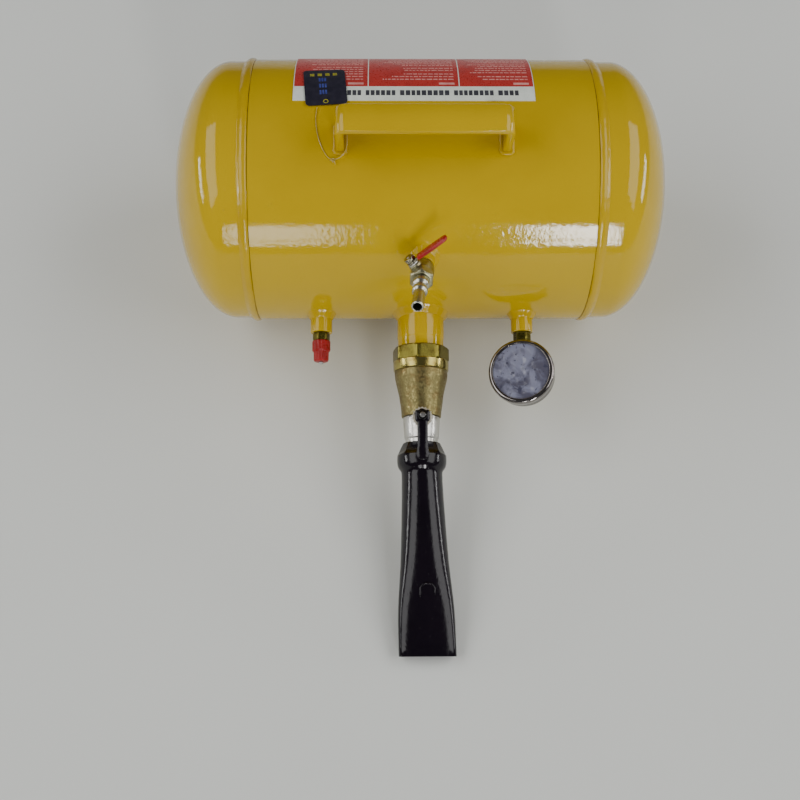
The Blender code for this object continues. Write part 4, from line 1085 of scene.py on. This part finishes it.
def build_socket():
    core = [(0.0046, 0.1500), (0.0046, BUSH_END + 0.0003), (0.0065, BUSH_END + 0.0003), (0.0065, 0.1262)]
    core += [(0.0020, 0.1262), (0.0020, 0.1500)]
    show(lathe(core, 64), "gauge_shank", GAUGE, BRASS)
    bm = hexagon(0.0140, BUSH_END + 0.0012, 0.1465, 0.0040)
    show(bm, "gauge_hex", turned(GAUGE, 60), BRASS)


def build_glass():
    """The lens, and over it the creased protective film that is still on it."""
    clear = Look("lens_plastic", (0.9, 0.9, 0.92), 0.05, Alpha=0.2, Coat_Weight=0.5)
    clear.rough(clear.spread(clear.noise(200, 3), 0.3, 0.7, 0.03, 0.09))
    lens = [(0, 0.0120), (0.0284, 0.0120), (0.0284, 0.0106), (0, 0.0106)]
    show(lathe(lens, 96), "gauge_window", DIAL, clear.material, replaces="gauge_lens")
    film = Look("creased_film", (0.30, 0.29, 0.36), 0.20, Coat_Weight=0.6, Coat_Roughness=0.12, Alpha=0.9)
    crease = film.noise(60, 5, distortion=0.9)
    fine = film.noise(190, 4, distortion=0.5)
    # The film's colour is painted shade, darker along the creases, with darker blotches of painted reflection
    # of dark surroundings.
    painted_crease_shade = film.blend(film.spread(crease, 0.38, 0.62), (0.09, 0.088, 0.13), (0.225, 0.235, 0.33))
    painted_crease_shade = film.blend(film.spread(fine, 0.58, 0.66), painted_crease_shade, (0.06, 0.06, 0.10))
    film.colour(painted_crease_shade)
    film.bump(crease, 0.0010, 0.8)
    film.bump(fine, 0.0004, 0.7)
    steps, rows = 96, 28
    bm = bmesh.new()

    def height(r, a):
        p = Vector((r * cos(a), r * sin(a), 0)) * 90
        fold = abs(noise.noise(p)) * 0.0006 + noise.noise(p * 3.1 + Vector((5, 2, 1))) * 0.0002
        return 0.0125 + fold * min(1.0, (0.0262 - r) / 0.006) + 0.0002

    under = [bm.verts.new((0, 0, height(0, 0) - 0.0002))]
    over = [bm.verts.new((0, 0, height(0, 0)))]
    layers = [[under], [over]]
    for k in range(1, rows + 1):
        r = 0.0256 * k / rows
        for layer, drop in zip(layers, (0.00015, 0.0)):
            ring = []
            for i in range(steps):
                a = 2 * pi * i / steps
                ring.append(bm.verts.new((r * cos(a), r * sin(a), height(r, a) - drop)))
            layer.append(ring)
    for layer in layers:
        join_all(bm, layer)
    join_rings(bm, layers[0][-1], layers[1][-1])
    show(bm, "gauge_film", DIAL, film.material, angle=60)


DIGITS = {
    "0": ((0, 0, 0, 2), (0, 2, 1, 2), (1, 2, 1, 0), (1, 0, 0, 0)),
    "1": ((0.6, 0, 0.6, 2), (0.6, 2, 0.2, 1.6)),
    "2": ((0, 2, 1, 2), (1, 2, 1, 1), (1, 1, 0, 1), (0, 1, 0, 0), (0, 0, 1, 0)),
    "4": ((0, 2, 0, 1), (0, 1, 1, 1), (1, 2, 1, 0)),
    "6": ((1, 2, 0, 2), (0, 2, 0, 0), (0, 0, 1, 0), (1, 0, 1, 1), (1, 1, 0, 1)),
    "8": ((0, 0, 0, 2), (0, 2, 1, 2), (1, 2, 1, 0), (1, 0, 0, 0), (0, 1, 1, 1)),
}


def stroke(bm, start, end, width, low, high):
    along = (end - start).normalized() * width / 2
    side = Vector((-along.y, along.x))
    corners = [start - along - side, end + along - side, end + along + side, start - along + side]
    under = [bm.verts.new((c.x, c.y, low)) for c in corners]
    over = [bm.verts.new((c.x, c.y, high)) for c in corners]
    bm.faces.new(over)
    bm.faces.new(under)
    join_rings(bm, under, over)


def build_dial():
    """The white dial, ticks and numbers from 0 to 12, bottom towards the tank, and the pointer."""
    face = [(0.0272, 0.0072), (0.0272, 0.0066), (0.0014, 0.0066), (0.0014, 0.0072)]
    show(lathe(face, 96), "gauge_face", DIAL, DIAL_WHITE, replaces="gauge_dial")
    low, high = 0.00715, 0.00726
    bm = bmesh.new()
    zero, sweep_angle, spans = 45, 270, 60
    for i in range(spans + 1):
        a = radians(zero - sweep_angle * i / spans)
        way = Vector((cos(a), sin(a)))
        long, wide = (0.0045, 0.0006) if i % 10 == 0 else (0.0024, 0.00025)
        stroke(bm, way * 0.0240, way * (0.0240 - long), wide, low, high)
    for i, text in enumerate(("0", "2", "4", "6", "8", "10", "12")):
        a = radians(zero - sweep_angle * i / 6)
        centre = Vector((cos(a), sin(a))) * 0.0162
        for k, digit in enumerate(text):
            # Numbers stand upright when the stem is at the bottom, so they are turned half round here.
            start_x = -0.0008 * len(text) - 0.0004 * (len(text) - 1) + 0.0024 * k
            for x0, y0, x1, y1 in DIGITS[digit]:
                first = centre - Vector((start_x + x0 * 0.0016, (y0 - 1) * 0.0014))
                second = centre - Vector((start_x + x1 * 0.0016, (y1 - 1) * 0.0014))
                stroke(bm, first, second, 0.0004, low, high)
    show(bm, "gauge_scale", DIAL, INK_DARK)
    needle = [(-0.0060, -0.0011), (0.0, -0.0021), (0.0035, -0.0010), (0.0215, -0.0002), (0.0215, 0.0002)]
    needle += [(0.0035, 0.0010), (0.0, 0.0021), (-0.0060, 0.0011)]
    bm = slab(needle, 0.0083, 0.0088, 0.0001, [arc((0, 0), 0.0012, 0, 340, 18)])
    show(bm, "gauge_needle", turned(DIAL, 45), BLACK, "gauge_pointer_body", "gauge_pointer")


# ---------------------------------------------------------------- CAD nodes that stay, floor, light, camera
def dress_inner_nodes():
    looks = {
        CHROME: ("main_ball", "fill_ball"),
        PTFE: ("main_packing", "main_seat_inner", "main_seat_outer", "fill_seat_inner", "fill_seat_outer"),
        STEEL: ("safety_spring",),
        BRASS: (
            "gauge_socket", "gauge_bent_tube", "gauge_movement_plate",
            "gauge_sector", "gauge_link", "gauge_arbor",
        ),
    }
    for look, names in looks.items():
        for name in names:
            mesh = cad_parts[name].data
            mesh.materials.clear()
            mesh.materials.append(look)


def build_stage():
    look = Look("studio_floor", (0.71, 0.725, 0.69), 0.7, Specular_IOR_Level=0.2)
    cloud = look.spread(look.noise(1.6, 4), 0.35, 0.65)
    look.colour(look.blend(cloud, (0.70, 0.715, 0.68), (0.72, 0.735, 0.70)))
    look.bump(look.noise(300, 2), 0.0001, 0.3)
    bm = bmesh.new()
    bmesh.ops.create_grid(bm, x_segments=8, y_segments=8, size=4)
    mesh = bpy.data.meshes.new("floor")
    bm.to_mesh(mesh)
    bm.free()
    mesh.materials.append(look.material)
    floor = placed("floor", mesh)
    floor.location = (0, 0, -0.0001)


def tank_point(x, forward, up):
    """A point given as right, forward and up from the tank's axis, in the row frame."""
    return TANK @ Vector((x, -forward, up))


def build_lamp(name, x, forward, up, size, power):
    light = bpy.data.lights.new(name, "AREA")
    light.shape = "RECTANGLE"
    light.size, light.size_y = size
    light.energy = power
    lamp = placed(name, light)
    place = tank_point(x, forward, up)
    lamp.location = place
    back = (place - tank_point(0, 0, 0)).normalized()
    # The long side of a lamp lies along the nozzle, and that of a window stands up.
    along = Vector((0, -1, 0)) if abs(back.y) < 0.5 else Vector((0, 0, 1))
    side = along.cross(back).normalized()
    lamp.rotation_euler = Matrix((side, back.cross(side), back)).transposed().to_euler()


WINDOW_FORWARD, WINDOW_UP = 5.33, 3.17
WINDOW_LEAN, WINDOW_CLIMB = 0.51, 0.86


def build_window(name, left, right, power_per_metre):
    """A tall window far in front of the tank: a large pane over a small one, with a bar between them."""
    middle = (left + right) / 2
    for pane, rise, tall in (("upper", 0.27, 1.40), ("lower", -0.76, 0.42)):
        # The panes lie in one plane, square to the way to the tank.
        forward, up = WINDOW_FORWARD - WINDOW_LEAN * rise, WINDOW_UP + WINDOW_CLIMB * rise
        build_lamp(f"{name}_{pane}", middle, forward, up, (right - left, tall), power_per_metre * tall)


def build_light():
    world = bpy.data.worlds.new("studio")
    world.use_nodes = True
    sky = world.node_tree.nodes["Background"].inputs
    sky["Color"].default_value, sky["Strength"].default_value = (0.95, 0.95, 1.0, 1), 0.11
    bpy.context.scene.world = world
    build_window("window_left", -1.15, -0.32, 23)
    build_window("window_right", 0.90, 1.58, 76)
    for side, name in ((-1, "left"), (1, "right")):
        build_lamp("softbox_" + name, side * 1.72, -0.20, 1.70, (1.35, 2.8), 34)
        build_lamp("strip_" + name, side * 2.6, -0.1, 0.46, (0.25, 1.2), 11)


CAMERA_PLACE = (-0.0354, -0.4269, 1.0678)
CAMERA_LENS = 54.0


def build_camera():
    data = bpy.data.cameras.new("camera")
    data.sensor_width = 36
    data.lens = CAMERA_LENS
    data.clip_end = 50
    camera = placed("camera", data)
    right = Vector((1.000, -0.005, 0.014))
    up = Vector((0.002, 0.978, 0.207))
    back = right.cross(up).normalized()
    up = back.cross(right.normalized())
    turn = Matrix((right.normalized(), up, back)).transposed().to_4x4()
    camera.matrix_world = TANK @ Matrix.Translation(CAMERA_PLACE) @ turn
    bpy.context.scene.camera = camera


build_camera()
build_thread(build_tag())
build_shell()
build_heads()
build_handle()
build_ports()
build_neck()
build_label()
build_inlet()
build_valve_body()
build_lever()
build_nozzle()
build_fill_valve()
build_safety_valve()
build_gauge()
dress_inner_nodes()
build_stage()
build_light()
